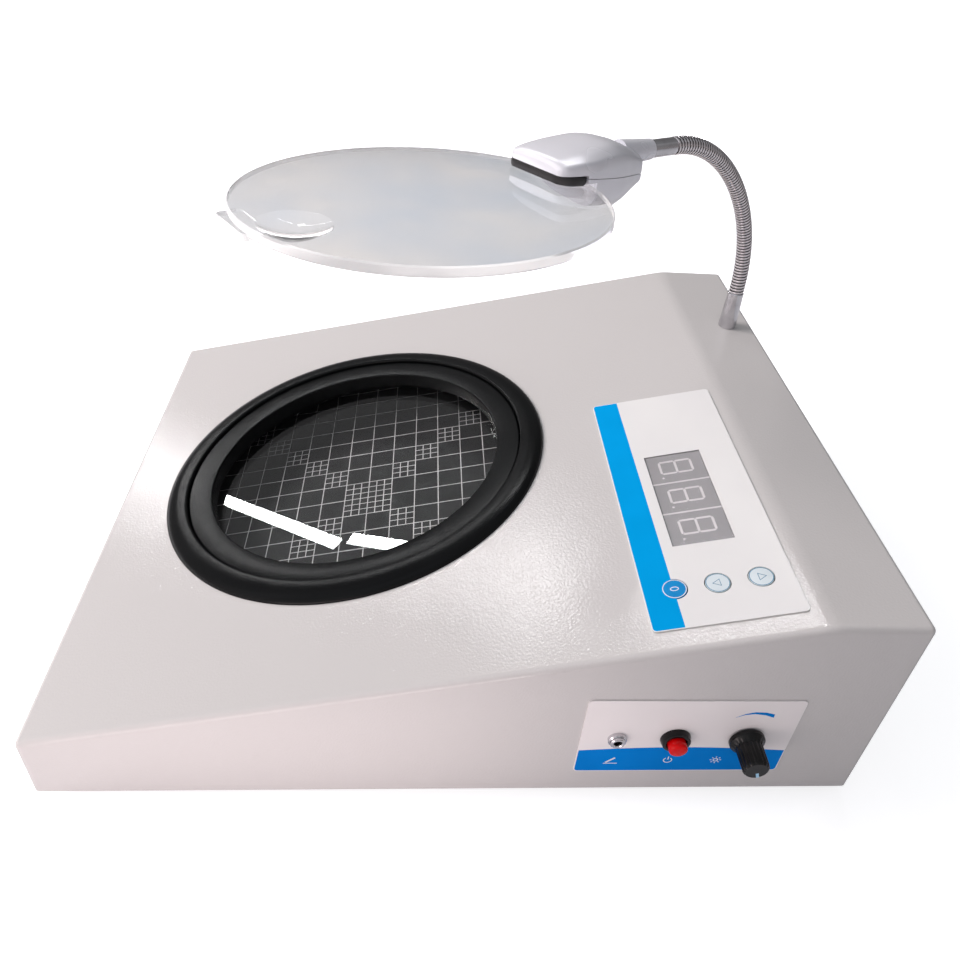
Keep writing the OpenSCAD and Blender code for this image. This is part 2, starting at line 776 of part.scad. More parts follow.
// One length of the neck: turns outside, a smooth bore inside
module neck_link(k) {
    step = 90 / neck_joints;
    t0 = (k - 1) * step + joint_gap / 2 / neck_speed((k - 1) * step);
    t1 = k * step - (k == neck_joints ? 0 : joint_gap / 2 / neck_speed(k * step));
    turns = max(2, round(neck_speed((t0 + t1) / 2) * (t1 - t0) / wind_pitch));
    outer = [for (i = [0 : 2 * turns])
        neck_ring(t0 + (t1 - t0) * i / (2 * turns), neck_r - (i % 2 == 0 ? wind_depth : 0))];
    inner = [for (i = [0 : 3]) neck_ring(t0 + (t1 - t0) * i / 3, neck_bore / 2)];
    n_out = len(outer) * neck_sides;
    last_out = n_out - neck_sides;
    last_in = n_out + 3 * neck_sides;
    faces = concat(
        [for (i = [0 : len(outer) - 2]) each ring_band(i * neck_sides, (i + 1) * neck_sides)],
        [for (i = [0 : 2]) each ring_band(n_out + (i + 1) * neck_sides, n_out + i * neck_sides)],
        ring_band(n_out, 0),
        ring_band(last_out, last_in));
    color("#c4c4c8") on_neck()
        polyhedron([for (r = concat(outer, inner)) each r], faces);
}

// Magnifier

// Chrome sleeve that joins the neck to the head
module head_ferrule() color("#b9b9bd")
    on_lens() translate([0, lens_y, lens_drop]) rotate([90, 0, 0])
        sleeve(head_ferrule_d, neck_bore, gap, head_ferrule_l);

// Smooth blend of one column of the stations
function blend(a, b, c, d, t) =
    0.5 * (2 * b + (c - a) * t + (2 * a - 5 * b + 4 * c - d) * t * t
           + (3 * b - a - 3 * c + d) * t * t * t);
function station(i) =
    let (s = head_stations[max(0, min(len(head_stations) - 1, i))])
    [jaw_y + s[0] * head_scale[0], s[1] * head_scale[1], s[2] * head_scale[2], s[3] * head_scale[3]];

// Height of the seam between the two halves, falling towards the neck
function seam(y) = seam_z + (y - jaw_y) * tan(seam_tilt);

// Sections of the two halves from the right round to the left, as shares
crown_ring = concat(crown_section, [[0, 1]],
                    [for (k = [len(crown_section) - 1 : -1 : 0]) [-crown_section[k][0], crown_section[k][1]]]);
belly_ring = [for (k = [0 : head_sides])
    let (a = 180 * k / head_sides, c = cos(a)) [sign(c) * pow(abs(c), head_soft), pow(sin(a), head_soft)]];

// Section of the shell at one station, from the seam up or down to its edge
function head_ring(s, edge, shares) =
    [for (p = shares) [s[1] * p[0], s[0], seam(s[0]) + (edge - seam(s[0])) * p[1]]];

// One moulded half of the head, lofted through its stations; column 2 is the upper half, 3 the lower
module head_half(column) {
    stations = [for (i = [0 : len(head_stations) - 2], j = [0 : head_fine - 1])
                    blend(station(i - 1), station(i), station(i + 1), station(i + 2), j / head_fine),
                station(len(head_stations) - 1)];
    shares = column == 2 ? crown_ring : belly_ring;
    n = len(stations);
    m = len(shares);
    ends = [[for (k = [0 : m - 1]) k], [for (k = [m - 1 : -1 : 0]) (n - 1) * m + k]];
    skin = [for (i = [0 : n - 2], k = [0 : m - 1])
        let (a = i * m, b = a + m, q = (k + 1) % m)
        each [[a + k, b + k, b + q], [a + k, b + q, a + q]]];
    faces = concat(ends, skin);
    polyhedron([for (s = stations) each head_ring(s, s[column], shares)],
               column == 3 ? faces : [for (f = faces) [for (k = [len(f) - 1 : -1 : 0]) f[k]]]);
}

// Disc in the mouth of the head, as far back as a given distance
module mouth(r, low, high, back)
    intersection() {
        translate([0, 0, low]) cylinder(r = r, h = high - low, $fn = 96);
        translate([-lens_r, 0, low]) cube([2 * lens_r, back, high - low]);
    }

// Room for the lens, its tongue and the soft strip
module head_cuts() {
    mouth(lens_r + gap, -lens_r, trim_z, 2 * lens_r);
    mouth(lens_r + gap, 0, trim_z + trim_t, strip_y);
    translate([-tongue_w / 2 - gap, lens_r - tongue_l, -tongue_t / 2 - gap])
        cube([tongue_w + 2 * gap, 2 * tongue_l + gap, tongue_t + 2 * gap]);
}

// Cone along the head's end, where the collar takes the ferrule
module collar(extra)
    translate([0, lens_y - head_ferrule_l, lens_drop]) rotate([90, 0, 0])
        cylinder(d1 = collar_d + extra, d2 = collar_root_d + extra, h = collar_l);

// Places of the two screws that clamp the lens
module at_head_screws()
    for (s = [-1, 1]) translate([s * head_screw_x, head_screw_y, 0]) children();

// Upper half with the collar that takes the ferrule
module head_upper() color("#c3c3c7")
    on_lens() difference() {
        union() {
            head_half(2);
            collar(0);
        }
        head_cuts();
        at_head_screws() post(screw_d + 2 * slip, -cut, head_screw_l - tongue_t / 2 - screw_d);
    }

// Lower half, held up by two screws
module head_lower() color("#b7b7bb")
    on_lens() difference() {
        head_half(3);
        head_cuts();
        collar(2 * gap);
        at_head_screws() {
            post(screw_hole_d, -lens_r, seam_z);
            post(head_recess_d, -lens_r, -tongue_t / 2 - screw_d);
        }
    }

// Soft black strip between the upper half and the lens
module head_strip() color("#1a1818")
    on_lens() intersection() {
        union() {
            head_half(2);
            head_half(3);
        }
        mouth(lens_r, trim_z, trim_z + trim_t, strip_y);
    }

module head_screws() color("silver")
    on_lens() at_head_screws()
        translate([0, 0, -tongue_t / 2 - screw_d]) screw(head_screw_l - cut);

// Clear lens: two shallow crowns, a rim, a tongue for the head, a finger tab and a small strong lens
module lens() color([0.85, 0.92, 0.95, 0.3])
    on_lens() difference() {
        union() {
            rotate_extrude($fn = 96)
                polygon(concat(
                    [for (k = [0 : 12]) let (x = lens_r * k / 12)
                        [x, -rim_t / 2 - lens_under * (1 - pow(k / 12, 2))]],
                    [for (k = [12 : -1 : 0]) let (x = lens_r * k / 12)
                        [x, rim_t / 2 + lens_top * (1 - pow(k / 12, 2))]]));
            translate([-tongue_w / 2, lens_r - cut, -tongue_t / 2])
                cube([tongue_w, tongue_l + cut, tongue_t]);
            translate([tab_x - tab_w / 2, -lens_r - tab_l, -rim_t / 2 - tab_t / 2])
                cube([tab_w, tab_l + jaw_lap / 2, tab_t]);
            translate([0, -spot_y, -rim_t / 2]) rotate_extrude()
                polygon(concat([[0, 0], [spot_r, 0]],
                    [for (t = [0 : 10 : 90]) [spot_r * cos(t), -spot_under * (sin(t) + 1) / 2]]));
        }
        at_head_screws() post(screw_hole_d, -tongue_t, tongue_t);
    }

case_shell();
base_plate();
base_screws();
feet();
foot_screws();
bezel_ring();
dish_ring();
glass_plate();
grid_plate();
lamp_housing();
led_board();
led_chips();
led_posts();
counter_panel();
key_reset();
key_down();
key_up();
tact_switches();
display_window();
display_digits();
counter_board();
board_posts();
side_panel();
pen_jack();
pen_jack_nut();
push_switch();
push_switch_nut();
push_cap();
potentiometer();
pot_nut();
pot_shaft();
knob();
power_inlet();
power_inlet_nut();
neck_ferrule();
neck_nut();
for (k = [1 : neck_joints])
    neck_link(k);
head_ferrule();
head_upper();
head_lower();
head_strip();
head_screws();
lens();
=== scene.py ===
# %% [markdown]
# # A digital colony counter
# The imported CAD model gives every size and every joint. This lesson dresses it: each cell makes one
# piece or one finish of the instrument, and says how the real one was made. Lengths are written in
# millimetres and turned to metres at the last moment, because Blender works in metres.

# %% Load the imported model
from math import atan, atan2, ceil, copysign, cos, degrees, pi, radians, sin, sqrt, tan, tau

import bmesh
import bpy
from mathutils import Matrix, Vector


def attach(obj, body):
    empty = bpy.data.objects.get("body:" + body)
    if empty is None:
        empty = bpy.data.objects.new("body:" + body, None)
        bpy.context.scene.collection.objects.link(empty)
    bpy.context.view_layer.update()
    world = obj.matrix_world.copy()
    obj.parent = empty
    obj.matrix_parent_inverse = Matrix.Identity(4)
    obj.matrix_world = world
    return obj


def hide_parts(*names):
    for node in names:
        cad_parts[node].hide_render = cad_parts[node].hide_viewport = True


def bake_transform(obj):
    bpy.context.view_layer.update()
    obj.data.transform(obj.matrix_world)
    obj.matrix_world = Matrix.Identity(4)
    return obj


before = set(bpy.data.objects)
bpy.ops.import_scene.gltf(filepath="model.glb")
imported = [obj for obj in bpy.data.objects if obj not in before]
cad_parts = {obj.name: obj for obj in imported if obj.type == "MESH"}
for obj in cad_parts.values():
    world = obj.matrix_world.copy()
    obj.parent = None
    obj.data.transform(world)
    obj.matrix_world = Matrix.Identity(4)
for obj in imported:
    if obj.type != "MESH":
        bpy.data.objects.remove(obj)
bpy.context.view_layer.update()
scene = bpy.context.scene

# %% [markdown]
# The case is a wedge of folded sheet. Almost everything sits on one of its faces, so each face gets a
# frame of its own: a matrix in millimetres whose Z axis points out of the metal. A piece is then drawn
# flat, where it is easy to draw, and the matrix carries it to its place.

# %% Frames of the faces
METRES = Matrix.Scale(0.001, 4)
CASE_W, CASE_D, FOOT_H = 230, 270, 5
FRONT_H, REAR_H, FLAT_D = 25.2, 81.3, 30.7
SLOPE = atan((REAR_H - FRONT_H) / (CASE_D - FLAT_D))
WELL_S = 97
KNOB_Y, PUSH_Y, JACK_Y, CONTROL_Z = 91.3, 68.3, 49.5, FOOT_H + 29.4
WINDOW_X0, WINDOW_X1, WINDOW_S0, WINDOW_S1 = 28.1, 74.3, 208.5, 228.8
KEY_X, KEY_S, KEY_PITCH, KEYS = 92.0, 205.0, 13.3, ("reset", "down", "up")
INLET_X, INLET_Z = -70, FOOT_H + 30
NECK_X, NECK_Y, NECK_YAW = -60.5, CASE_D / 2 - 12, 32.4


def at(x, y, z):
    """Matrix that moves a piece by millimetres."""
    return Matrix.Translation((x, y, z))


def turn(angle, axis):
    """Matrix that turns a piece about one axis, in degrees."""
    return Matrix.Rotation(radians(angle), 4, axis)


def on_side(y, z):
    """Frame on the right wall: X to the rear, Y up, Z out of the metal."""
    return at(CASE_W / 2, y, z) @ turn(90, "Z") @ turn(90, "X")


slope = at(0, -CASE_D / 2, FOOT_H + FRONT_H) @ Matrix.Rotation(SLOPE, 4, "X")
well = slope @ at(0, WELL_S, 0)
rear = at(INLET_X, CASE_D / 2, INLET_Z) @ turn(180, "Z") @ turn(90, "X")
neck = at(NECK_X, NECK_Y, FOOT_H + REAR_H) @ turn(NECK_YAW, "Z")
print("slope tilts", round(degrees(SLOPE), 2), "degrees")

# %% [markdown]
# The camera stands where the photographer stood: to the right of the instrument and above it. Its place
# and lens were fitted to the case edges and to the grid under the glass, taken as 10 mm squares. The
# small shift is that of a picture cropped off-centre.

# %% Camera
FOCAL_PX, CENTRE_PX, FRAME_PX, SENSOR = 826.5, (482.0, 435.5), 960, 36
EYE = Vector((263.7, -15.7, 263.6))
RIGHT = Vector((0.0465, 0.9966, 0.0680))
FORWARD = Vector((-0.7972, 0.0780, -0.5987))
view_back = -FORWARD.normalized()
view_up = view_back.cross(RIGHT).normalized()
view_right = view_up.cross(view_back)
lens_data = bpy.data.cameras.new("photo_camera")
lens_data.sensor_width = SENSOR
lens_data.lens = FOCAL_PX * SENSOR / FRAME_PX
lens_data.shift_x = (FRAME_PX / 2 - CENTRE_PX[0]) / FRAME_PX
lens_data.shift_y = (CENTRE_PX[1] - FRAME_PX / 2) / FRAME_PX
lens_data.clip_start = 0.01
camera = bpy.data.objects.new("photo_camera", lens_data)
scene.collection.objects.link(camera)
turned = Matrix((view_right, view_up, view_back)).transposed().to_4x4()
camera.matrix_world = Matrix.Translation(METRES @ EYE) @ turned
scene.camera = camera
print("camera at", [round(c, 3) for c in camera.location], "lens", round(lens_data.lens, 2))

# %% [markdown]
# A finish is a shader with a few nodes. Real surfaces are never quite even, so most finishes have two
# near colours and two degrees of gloss that change slowly from place to place (clouds), and many have a
# fine relief (grain). Colours are written as on a screen and turned to the linear numbers of light.


# %% Helpers for finishes
def linear(hex_colour):
    """Linear red, green, blue and alpha of an sRGB hex colour."""
    parts = [int(hex_colour[k:k + 2], 16) / 255 for k in (0, 2, 4)]
    return tuple(c / 12.92 if c <= 0.04045 else ((c + 0.055) / 1.055) ** 2.4 for c in parts) + (1.0,)


def surface(finish):
    """The Principled shader of a finish."""
    return finish.node_tree.nodes["Principled BSDF"]


def add_node(finish, kind, settings=None, inputs=None, outputs=None):
    """Adds one node: its properties, its values or links, and the sockets that it feeds.

    A node given as an input stands for its first output.
    """
    tree = finish.node_tree
    made = tree.nodes.new("ShaderNode" + kind)
    for key, value in (settings or {}).items():
        setattr(made, key, value)
    for key, value in (inputs or {}).items():
        if isinstance(value, bpy.types.Node):
            value = value.outputs[0]
        if isinstance(value, bpy.types.NodeSocket):
            tree.links.new(value, made.inputs[key])
        else:
            made.inputs[key].default_value = value
    for key, socket in (outputs or {}).items():
        tree.links.new(made.outputs[key], socket)
    return made


def noise(finish, size):
    """Soft noise whose pattern repeats about every so many millimetres."""
    where = add_node(finish, "TexCoord").outputs["Object"]
    return add_node(finish, "TexNoise", inputs={"Vector": where, "Scale": 1000 / size, "Detail": 2.0})


def new_finish(name, look, grain=None, **sockets):
    """Material with one Principled shader.

    look: one colour, or clouds: their size in millimetres, two colours and two roughnesses.
    grain: size and height in millimetres. sockets: constant values of the shader, _ for a space.
    """
    made = bpy.data.materials.new(name)
    made.use_nodes = True
    shader = surface(made).inputs
    for key, value in sockets.items():
        shader[key.replace("_", " ")].default_value = value
    if isinstance(look, str):
        shader["Base Color"].default_value = linear(look)
    else:
        size, colour_a, colour_b, rough_a, rough_b = look
        spread = add_node(made, "MapRange", {"interpolation_type": "SMOOTHSTEP"}, {
            "Value": noise(made, size), "From Min": 0.25, "From Max": 0.75})
        add_node(made, "Mix", {"data_type": "RGBA"}, {
            0: spread, 6: linear(colour_a), 7: linear(colour_b)}, {2: shader["Base Color"]})
        add_node(made, "MapRange", None, {"Value": spread, "To Min": rough_a, "To Max": rough_b},
                 {"Result": shader["Roughness"]})
    if grain:
        size, height = grain
        add_node(made, "Bump", None, {
            "Strength": 1.0, "Distance": height / 1000, "Height": noise(made, size)},
            {"Normal": shader["Normal"]})
    return made


# %% [markdown]
# Light. The picture was taken in a room with rows of tube lamps on the ceiling, and they show as white
# bars in the glass. Three tubes stand along the line where rays from the camera, mirrored in the slope,
# meet the ceiling, so the bars fall in the same places here. Two dimmer square panels stand in the same
# row. A window gives a soft light from the front, and a card low on the right lifts the side wall. The
# window is not mirrored, since its square would show in the gloss.
#
# The room itself is a soft gradient with patches: light in front of the instrument and on the camera's
# side, dim behind it. Black plastic and chrome need that contrast, since they only show what they mirror.
# The camera sees plain white behind the case, as in the cut-out picture, and metal and glass get a share
# of that white. The floor is lifted in the same way, so only the shadow is left of it.

# %% Surround
room = bpy.data.worlds.new("gradient_room")
scene.world = room
room.use_nodes = True
scene.view_settings.view_transform = "Standard"
WALL, CEILING_TINT, CEILING_FROM = (0.90, 0.80, 0.79, 1), (0.74, 0.78, 0.84, 1), 0.9
FRONT_LIGHT, BACK_LIGHT, FAR_LIGHT, NEAR_LIGHT = 1.0, 0.36, 0.18, 1.05
GRADIENTS = (("Y", -0.8, 0.8, FRONT_LIGHT, BACK_LIGHT), ("X", -0.7, 0.6, FAR_LIGHT, NEAR_LIGHT))
PATCHES, PATCH_DARK, PATCH_LIGHT, IN_METAL, IN_GLASS = 2.5, 0.2, 1.8, 0.1, 0.42
TIMES, LARGER, COLOURS = {"operation": "MULTIPLY"}, {"operation": "MAXIMUM"}, {"data_type": "RGBA"}
heading = add_node(room, "TexCoord").outputs["Generated"]
axes = add_node(room, "SeparateXYZ", inputs={0: heading}).outputs
upward = add_node(room, "MapRange", inputs={"Value": axes["Z"], "From Max": CEILING_FROM})
tint = add_node(room, "Mix", COLOURS, {0: upward, 6: WALL, 7: CEILING_TINT})
patches = add_node(room, "TexNoise", inputs={"Vector": heading, "Scale": PATCHES, "Detail": 0.0})
level = add_node(room, "MapRange", inputs={
    "Value": patches, "To Min": PATCH_DARK, "To Max": PATCH_LIGHT})
for axis, low, high, light_a, light_b in GRADIENTS:
    gradient = add_node(room, "MapRange", inputs={
        "Value": axes[axis], "From Min": low, "From Max": high, "To Min": light_a, "To Max": light_b})
    level = add_node(room, "Math", TIMES, {0: level, 1: gradient})
shade = add_node(room, "VectorMath", {"operation": "SCALE"}, {0: tint.outputs[2], "Scale": level})
path = add_node(room, "LightPath").outputs
bounces = add_node(room, "Math", {"operation": "ADD"}, {0: path["Diffuse Depth"], 1: path["Glossy Depth"]})
direct = add_node(room, "Math", {"operation": "LESS_THAN"}, {0: bounces, 1: 0.5})
through = add_node(room, "Math", TIMES, {0: path["Is Transmission Ray"], 1: direct})
behind = add_node(room, "Math", TIMES, {0: through, 1: IN_GLASS})
mirrored = add_node(room, "Math", TIMES, {0: path["Is Glossy Ray"], 1: IN_METAL})
share = add_node(room, "Math", LARGER, {0: behind, 1: mirrored})
white = add_node(room, "Math", LARGER, {0: path["Is Camera Ray"], 1: share})
add_node(room, "Mix", COLOURS, {0: white, 6: shade.outputs[0], 7: (1, 1, 1, 1)},
         {2: room.node_tree.nodes["Background"].inputs["Color"]})
print("room:", len(room.node_tree.nodes), "nodes")


# %% Lamps
def lamp(name, place, target, width, length, power, spin=0.0, colour="FFFFFF"):
    """Flat rectangular lamp at a place in millimetres, facing a target, turned about its own axis."""
    data = bpy.data.lights.new(name, "AREA")
    data.shape, data.size, data.size_y = "RECTANGLE", width / 1000, length / 1000
    data.energy = power
    data.color = linear(colour)[:3]
    made = bpy.data.objects.new(name, data)
    scene.collection.objects.link(made)
    aim = (Vector(target) - Vector(place)).to_track_quat("-Z", "Y").to_matrix().to_4x4()
    made.matrix_world = Matrix.Translation(METRES @ Vector(place)) @ aim @ turn(spin, "Z")
    made.visible_camera = False
    return made


CEILING, TUBE_W, TUBE_POWER, CASE_MIDDLE = 1500, 46, 5.0, (0, 0, 60)
TUBES = {"far": ((-2650, -2075), (-1717, -1014)), "middle": ((-1726, -971), (-1460, -545)),
         "near": ((-1110, -100), (-890, 420))}
for name, ends in TUBES.items():
    end_a, end_b = (Vector((x, y, CEILING)) for x, y in ends)
    middle, along = (end_a + end_b) / 2, end_b - end_a
    bearing = degrees(atan2(along.y, along.x))
    lamp("tube_lamp_" + name, middle, middle - Vector((0, 0, 1)), TUBE_W, along.length,
         TUBE_POWER * along.length / 1000, bearing - 90)
PANELS, PANEL_POWER = {"right": (-1300, -370, 230), "left": (-2700, -2200, 260)}, 28
for name, (x, y, width) in PANELS.items():
    lamp("ceiling_panel_" + name, (x, y, CEILING), CASE_MIDDLE, width, width,
         PANEL_POWER * (width / 1000) ** 2)
FRONT_AT, FRONT_SIZE, FRONT_POWER = (-350, -1270, 930), 900, 27.5
front = lamp("front_window", FRONT_AT, CASE_MIDDLE, FRONT_SIZE, FRONT_SIZE, FRONT_POWER, colour="FFF6F5")
front.visible_glossy = False
CARD_AT, CARD_AIM, CARD_W, CARD_H, CARD_POWER = (205, -85, 36), (115, -85, 36), 220, 40, 0.105
lamp("side_card", CARD_AT, CARD_AIM, CARD_W, CARD_H, CARD_POWER, colour="FFEDEC")

# %% Floor
FLOOR_LIFT, FLOOR_HALF = 0.7, 4.0
# Dull paper: no gloss, only the soft shadow of the case.
floor_paper = new_finish("grey_matt_paper_floor", "DADBDE", Roughness=0.95, Specular_IOR_Level=0.1)
seen = add_node(floor_paper, "LightPath").outputs
metal = add_node(floor_paper, "Math", TIMES, {0: seen["Is Glossy Ray"], 1: IN_METAL})
glass = add_node(floor_paper, "Math", TIMES, {0: seen["Is Transmission Ray"], 1: IN_GLASS})
either = add_node(floor_paper, "Math", LARGER, {0: glass, 1: metal})
lifted = add_node(floor_paper, "Math", LARGER, {0: seen["Is Camera Ray"], 1: either})
glow = surface(floor_paper).inputs
glow["Emission Color"].default_value = (1, 1, 1, 1)
add_node(floor_paper, "Math", TIMES, {0: lifted, 1: FLOOR_LIFT}, {0: glow["Emission Strength"]})
floor_mesh = bpy.data.meshes.new("floor")
corners = [(FLOOR_HALF * x, FLOOR_HALF * y, 0) for x, y in ((-1, -1), (1, -1), (1, 1), (-1, 1))]
floor_mesh.from_pydata(corners, [], [(0, 1, 2, 3)])
floor_mesh.materials.append(floor_paper)
floor = bpy.data.objects.new("floor", floor_mesh)
scene.collection.objects.link(floor)

# %% [markdown]
# Shapes. A few helpers draw nearly everything: a turned shape (as from a lathe), a loft through rings of
# points, a flat plate with any outline, and a flat band between two outlines. Another cuts one shape
# with a second, and the last puts the finished mesh on its body in the frame.


# %% Helpers for outlines
def oval(centre, across, high, start, end, steps):
    """Points of an elliptic arc, in degrees."""
    turns = [radians(start + (end - start) * k / steps) for k in range(steps + 1)]
    return [(centre[0] + across * cos(a), centre[1] + high * sin(a)) for a in turns]


def arc(centre, radius, start, end, steps):
    """Points of a round arc, in degrees."""
    return oval(centre, radius, radius, start, end, steps)


def rectangle(x0, y0, x1, y1):
    """Outline of a rectangle, anticlockwise."""
    return [(x0, y0), (x1, y0), (x1, y1), (x0, y1)]


def rounded_box(x0, y0, x1, y1, r, steps=6):
    """Outline of a rectangle with rounded corners, anticlockwise."""
    centres = rectangle(x0 + r, y0 + r, x1 - r, y1 - r)
    rounds = [arc(centres[k % 4], r, 90 * k - 180, 90 * k - 90, steps) for k in (1, 2, 3, 4)]
    return [point for corner in rounds for point in corner]


# %% Helpers for shapes
def skin(rings, closed):
    """Mesh through rings of points, and its rows of vertices; a ring of one point makes a tip."""
    made = bmesh.new()
    rows = [[made.verts.new(p) for p in ring] for ring in rings]
    count = max(len(row) for row in rows)
    for low, high in list(zip(rows, rows[1:])) + ([(rows[-1], rows[0])] if closed else []):
        for k in range(count):
            n = (k + 1) % count
            corners = [low[k % len(low)], low[n % len(low)], high[n % len(high)], high[k % len(high)]]
            corners = list(dict.fromkeys(corners))
            if len(corners) > 2:
                made.faces.new(corners)
    return made, rows


def lathe(profile, steps, closed=False):
    """Turned shape: (radius, height) points swept round Z. A closed profile makes a ring."""
    turns = [tau * k / steps for k in range(steps)]
    return skin([[(r * cos(a), r * sin(a), z) for a in (turns if r else [0])]
                 for r, z in profile], closed)[0]


def rod(radius, low, high, steps):
    """Solid cylinder between two levels."""
    return lathe([(0, low), (radius, low), (radius, high), (0, high)], steps)


def loft(rings, closed=False):
    """Skin through rings with the same count of points, capped at both ends or closed to a ring."""
    made, rows = skin(rings, closed)
    if not closed:
        made.faces.new(rows[0][::-1])
        made.faces.new(rows[-1])
    return made


def raised(outline, z):
    """An outline at a level."""
    return [(x, y, z) for x, y in outline]


def plate(outline, low, high):
    """Flat plate between two levels with any outline."""
    return loft([raised(outline, low), raised(outline, high)])


def band(outer, inner, low, high):
    """Flat band between two outlines that have the same count of points."""
    return loft([raised(outer, low), raised(outer, high), raised(inner, high), raised(inner, low)], True)


def strip(x0, y0, x1, y1, width, low, high):
    """Straight printed line between two points."""
    run = Vector((x1 - x0, y1 - y0))
    side = Vector((-run.y, run.x)).normalized() * width / 2
    return plate([(x1 + side.x, y1 + side.y), (x1 - side.x, y1 - side.y),
                  (x0 - side.x, y0 - side.y), (x0 + side.x, y0 + side.y)], low, high)


def gather(parts):
    """One mesh from several."""
    whole = bmesh.new()
    for part in parts:
        held = bpy.data.meshes.new("held")
        part.to_mesh(held)
        part.free()
        whole.from_mesh(held)
        bpy.data.meshes.remove(held)
    return whole


def moved(part, place):
    """The same mesh at another place."""
    part.transform(place)
    return part


def carved(shape, cutter, operation="DIFFERENCE"):
    """A shape after one exact boolean with another; both are used up."""
    holders = []
    for part in (shape, cutter):
        bmesh.ops.recalc_face_normals(part, faces=part.faces)
        mesh = bpy.data.meshes.new("carving")
        part.to_mesh(mesh)
        part.free()
        holders.append(bpy.data.objects.new("carving", mesh))
        scene.collection.objects.link(holders[-1])
    step = holders[0].modifiers.new("carve", "BOOLEAN")
    step.operation, step.object, step.solver = operation, holders[1], "EXACT"
    result = bmesh.new()
    result.from_object(holders[0], bpy.context.evaluated_depsgraph_get())
    for holder in holders:
        mesh = holder.data
        bpy.data.objects.remove(holder)
        bpy.data.meshes.remove(mesh)
    return result


# %% Helpers that put pieces on the frame
def piece(name, shape, place, finish, replaces=(), body="case", sharp=32):
    """Object of a shape drawn in millimetres, carried to its place and riding on a body."""
    bmesh.ops.recalc_face_normals(shape, faces=shape.faces)
    shape.transform(METRES @ place)
    mesh = bpy.data.meshes.new(name)
    shape.to_mesh(mesh)
    shape.free()
    mesh.shade_smooth()
    mesh.set_sharp_from_angle(angle=radians(sharp))
    mesh.materials.append(finish)
    made = bpy.data.objects.new(name, mesh)
    scene.collection.objects.link(made)
    if body:
        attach(made, body)
    if replaces:
        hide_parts(*replaces)
    return made


def dress(finish, *nodes):
    """Gives a finish to CAD nodes that are shown as they are."""
    for name in nodes:
        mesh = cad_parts[name].data
        mesh.materials.clear()
        mesh.materials.append(finish)


print("helpers ready")

# %% [markdown]
# The case is folded steel sheet with a baked powder coat. The coat is a light warm grey with the fine
# orange-peel skin that powder leaves when it flows out, so a lamp mirrored in it breaks into small
# sparks. The grain is drawn 0.8 mm wide, which is coarse, so that it shows at this distance.
#
# The cover is drawn as its side view: four straight walls and three bends. Sheet that is bent on a press
# has a tight radius at a corner, but the shallow bend at the top of the slope is a wide one. The side
# view is swept across, drawn in along a quarter circle at both ends, hollowed and then cut for the well
# and the controls.

# %% Powder coat
POWDER = (0.8, 0.06)
# A hard gloss under the grain, so that the tubes sparkle in it.
powder_coat = new_finish("powder_coated_steel_warm_grey", (90, "C5C3C2", "C3C1C0", 0.06, 0.07),
                         POWDER, IOR=1.5)
# The same coat on the base plate, duller.
base_coat = new_finish("powder_coated_steel_base", "BBB6B4", POWDER, Roughness=0.5)
dress(base_coat, "base_plate")
print("coat: grain", POWDER[0], "mm")

# %% Folded cover
FOLD_R, FOLD_LEAST, FOLD_STEPS, BEND_R, BEND_STEPS, SHEET = 2.0, 0.2, 8, 26.0, 16, 1.2


def bent(corners, radii):
    """Outline through corners, each rounded by an arc of its radius; 0 keeps the corner."""
    outline = []
    for k, (corner, radius) in enumerate(zip(corners, radii)):
        here = Vector(corner)
        if not radius:
            outline.append(tuple(here))
            continue
        back = (Vector(corners[k - 1]) - here).normalized()
        ahead = (Vector(corners[(k + 1) % len(corners)]) - here).normalized()
        half = back.angle(ahead) / 2
        centre = here + (back + ahead).normalized() * radius / sin(half)
        start, end = (here + way * radius / tan(half) - centre for way in (back, ahead))
        sweep = start.angle_signed(end)
        steps = BEND_STEPS if radius > BEND_R / 2 else FOLD_STEPS
        outline += [tuple(centre + Matrix.Rotation(-sweep * j / steps, 2) @ start) for j in range(steps + 1)]
    return outline


def side_view(inset, low):
    """Side view of the cover in (y, z), drawn in by an inset, down to a level."""
    front, rear, top = -CASE_D / 2 + inset, CASE_D / 2 - inset, FOOT_H + REAR_H - inset
    slope_foot = FOOT_H + FRONT_H - inset / cos(SLOPE) + inset * tan(SLOPE)
    bend_y = front + (top - slope_foot) / tan(SLOPE)
    fold = max(FOLD_R - inset, FOLD_LEAST)
    return bent([(front, low), (rear, low), (rear, top), (bend_y, top), (front, slope_foot)],
                [0, 0, fold, BEND_R - inset, fold])


def swept_cover(thickness, low):
    """The side view swept across the case, rounded over to both side walls."""
    half, rings = CASE_W / 2 - thickness, []
    turns = [pi / 2 * k / FOLD_STEPS for k in range(FOLD_STEPS, -1, -1)]
    for side in (-1, 1):
        for angle in turns[::-side]:
            x = side * (half - FOLD_R + FOLD_R * sin(angle))
            outline = side_view(thickness + FOLD_R * (1 - cos(angle)), low)
            rings.append([(x, y, z) for y, z in outline])
    return loft(rings)


print("cover: bend radius", BEND_R, "mm")

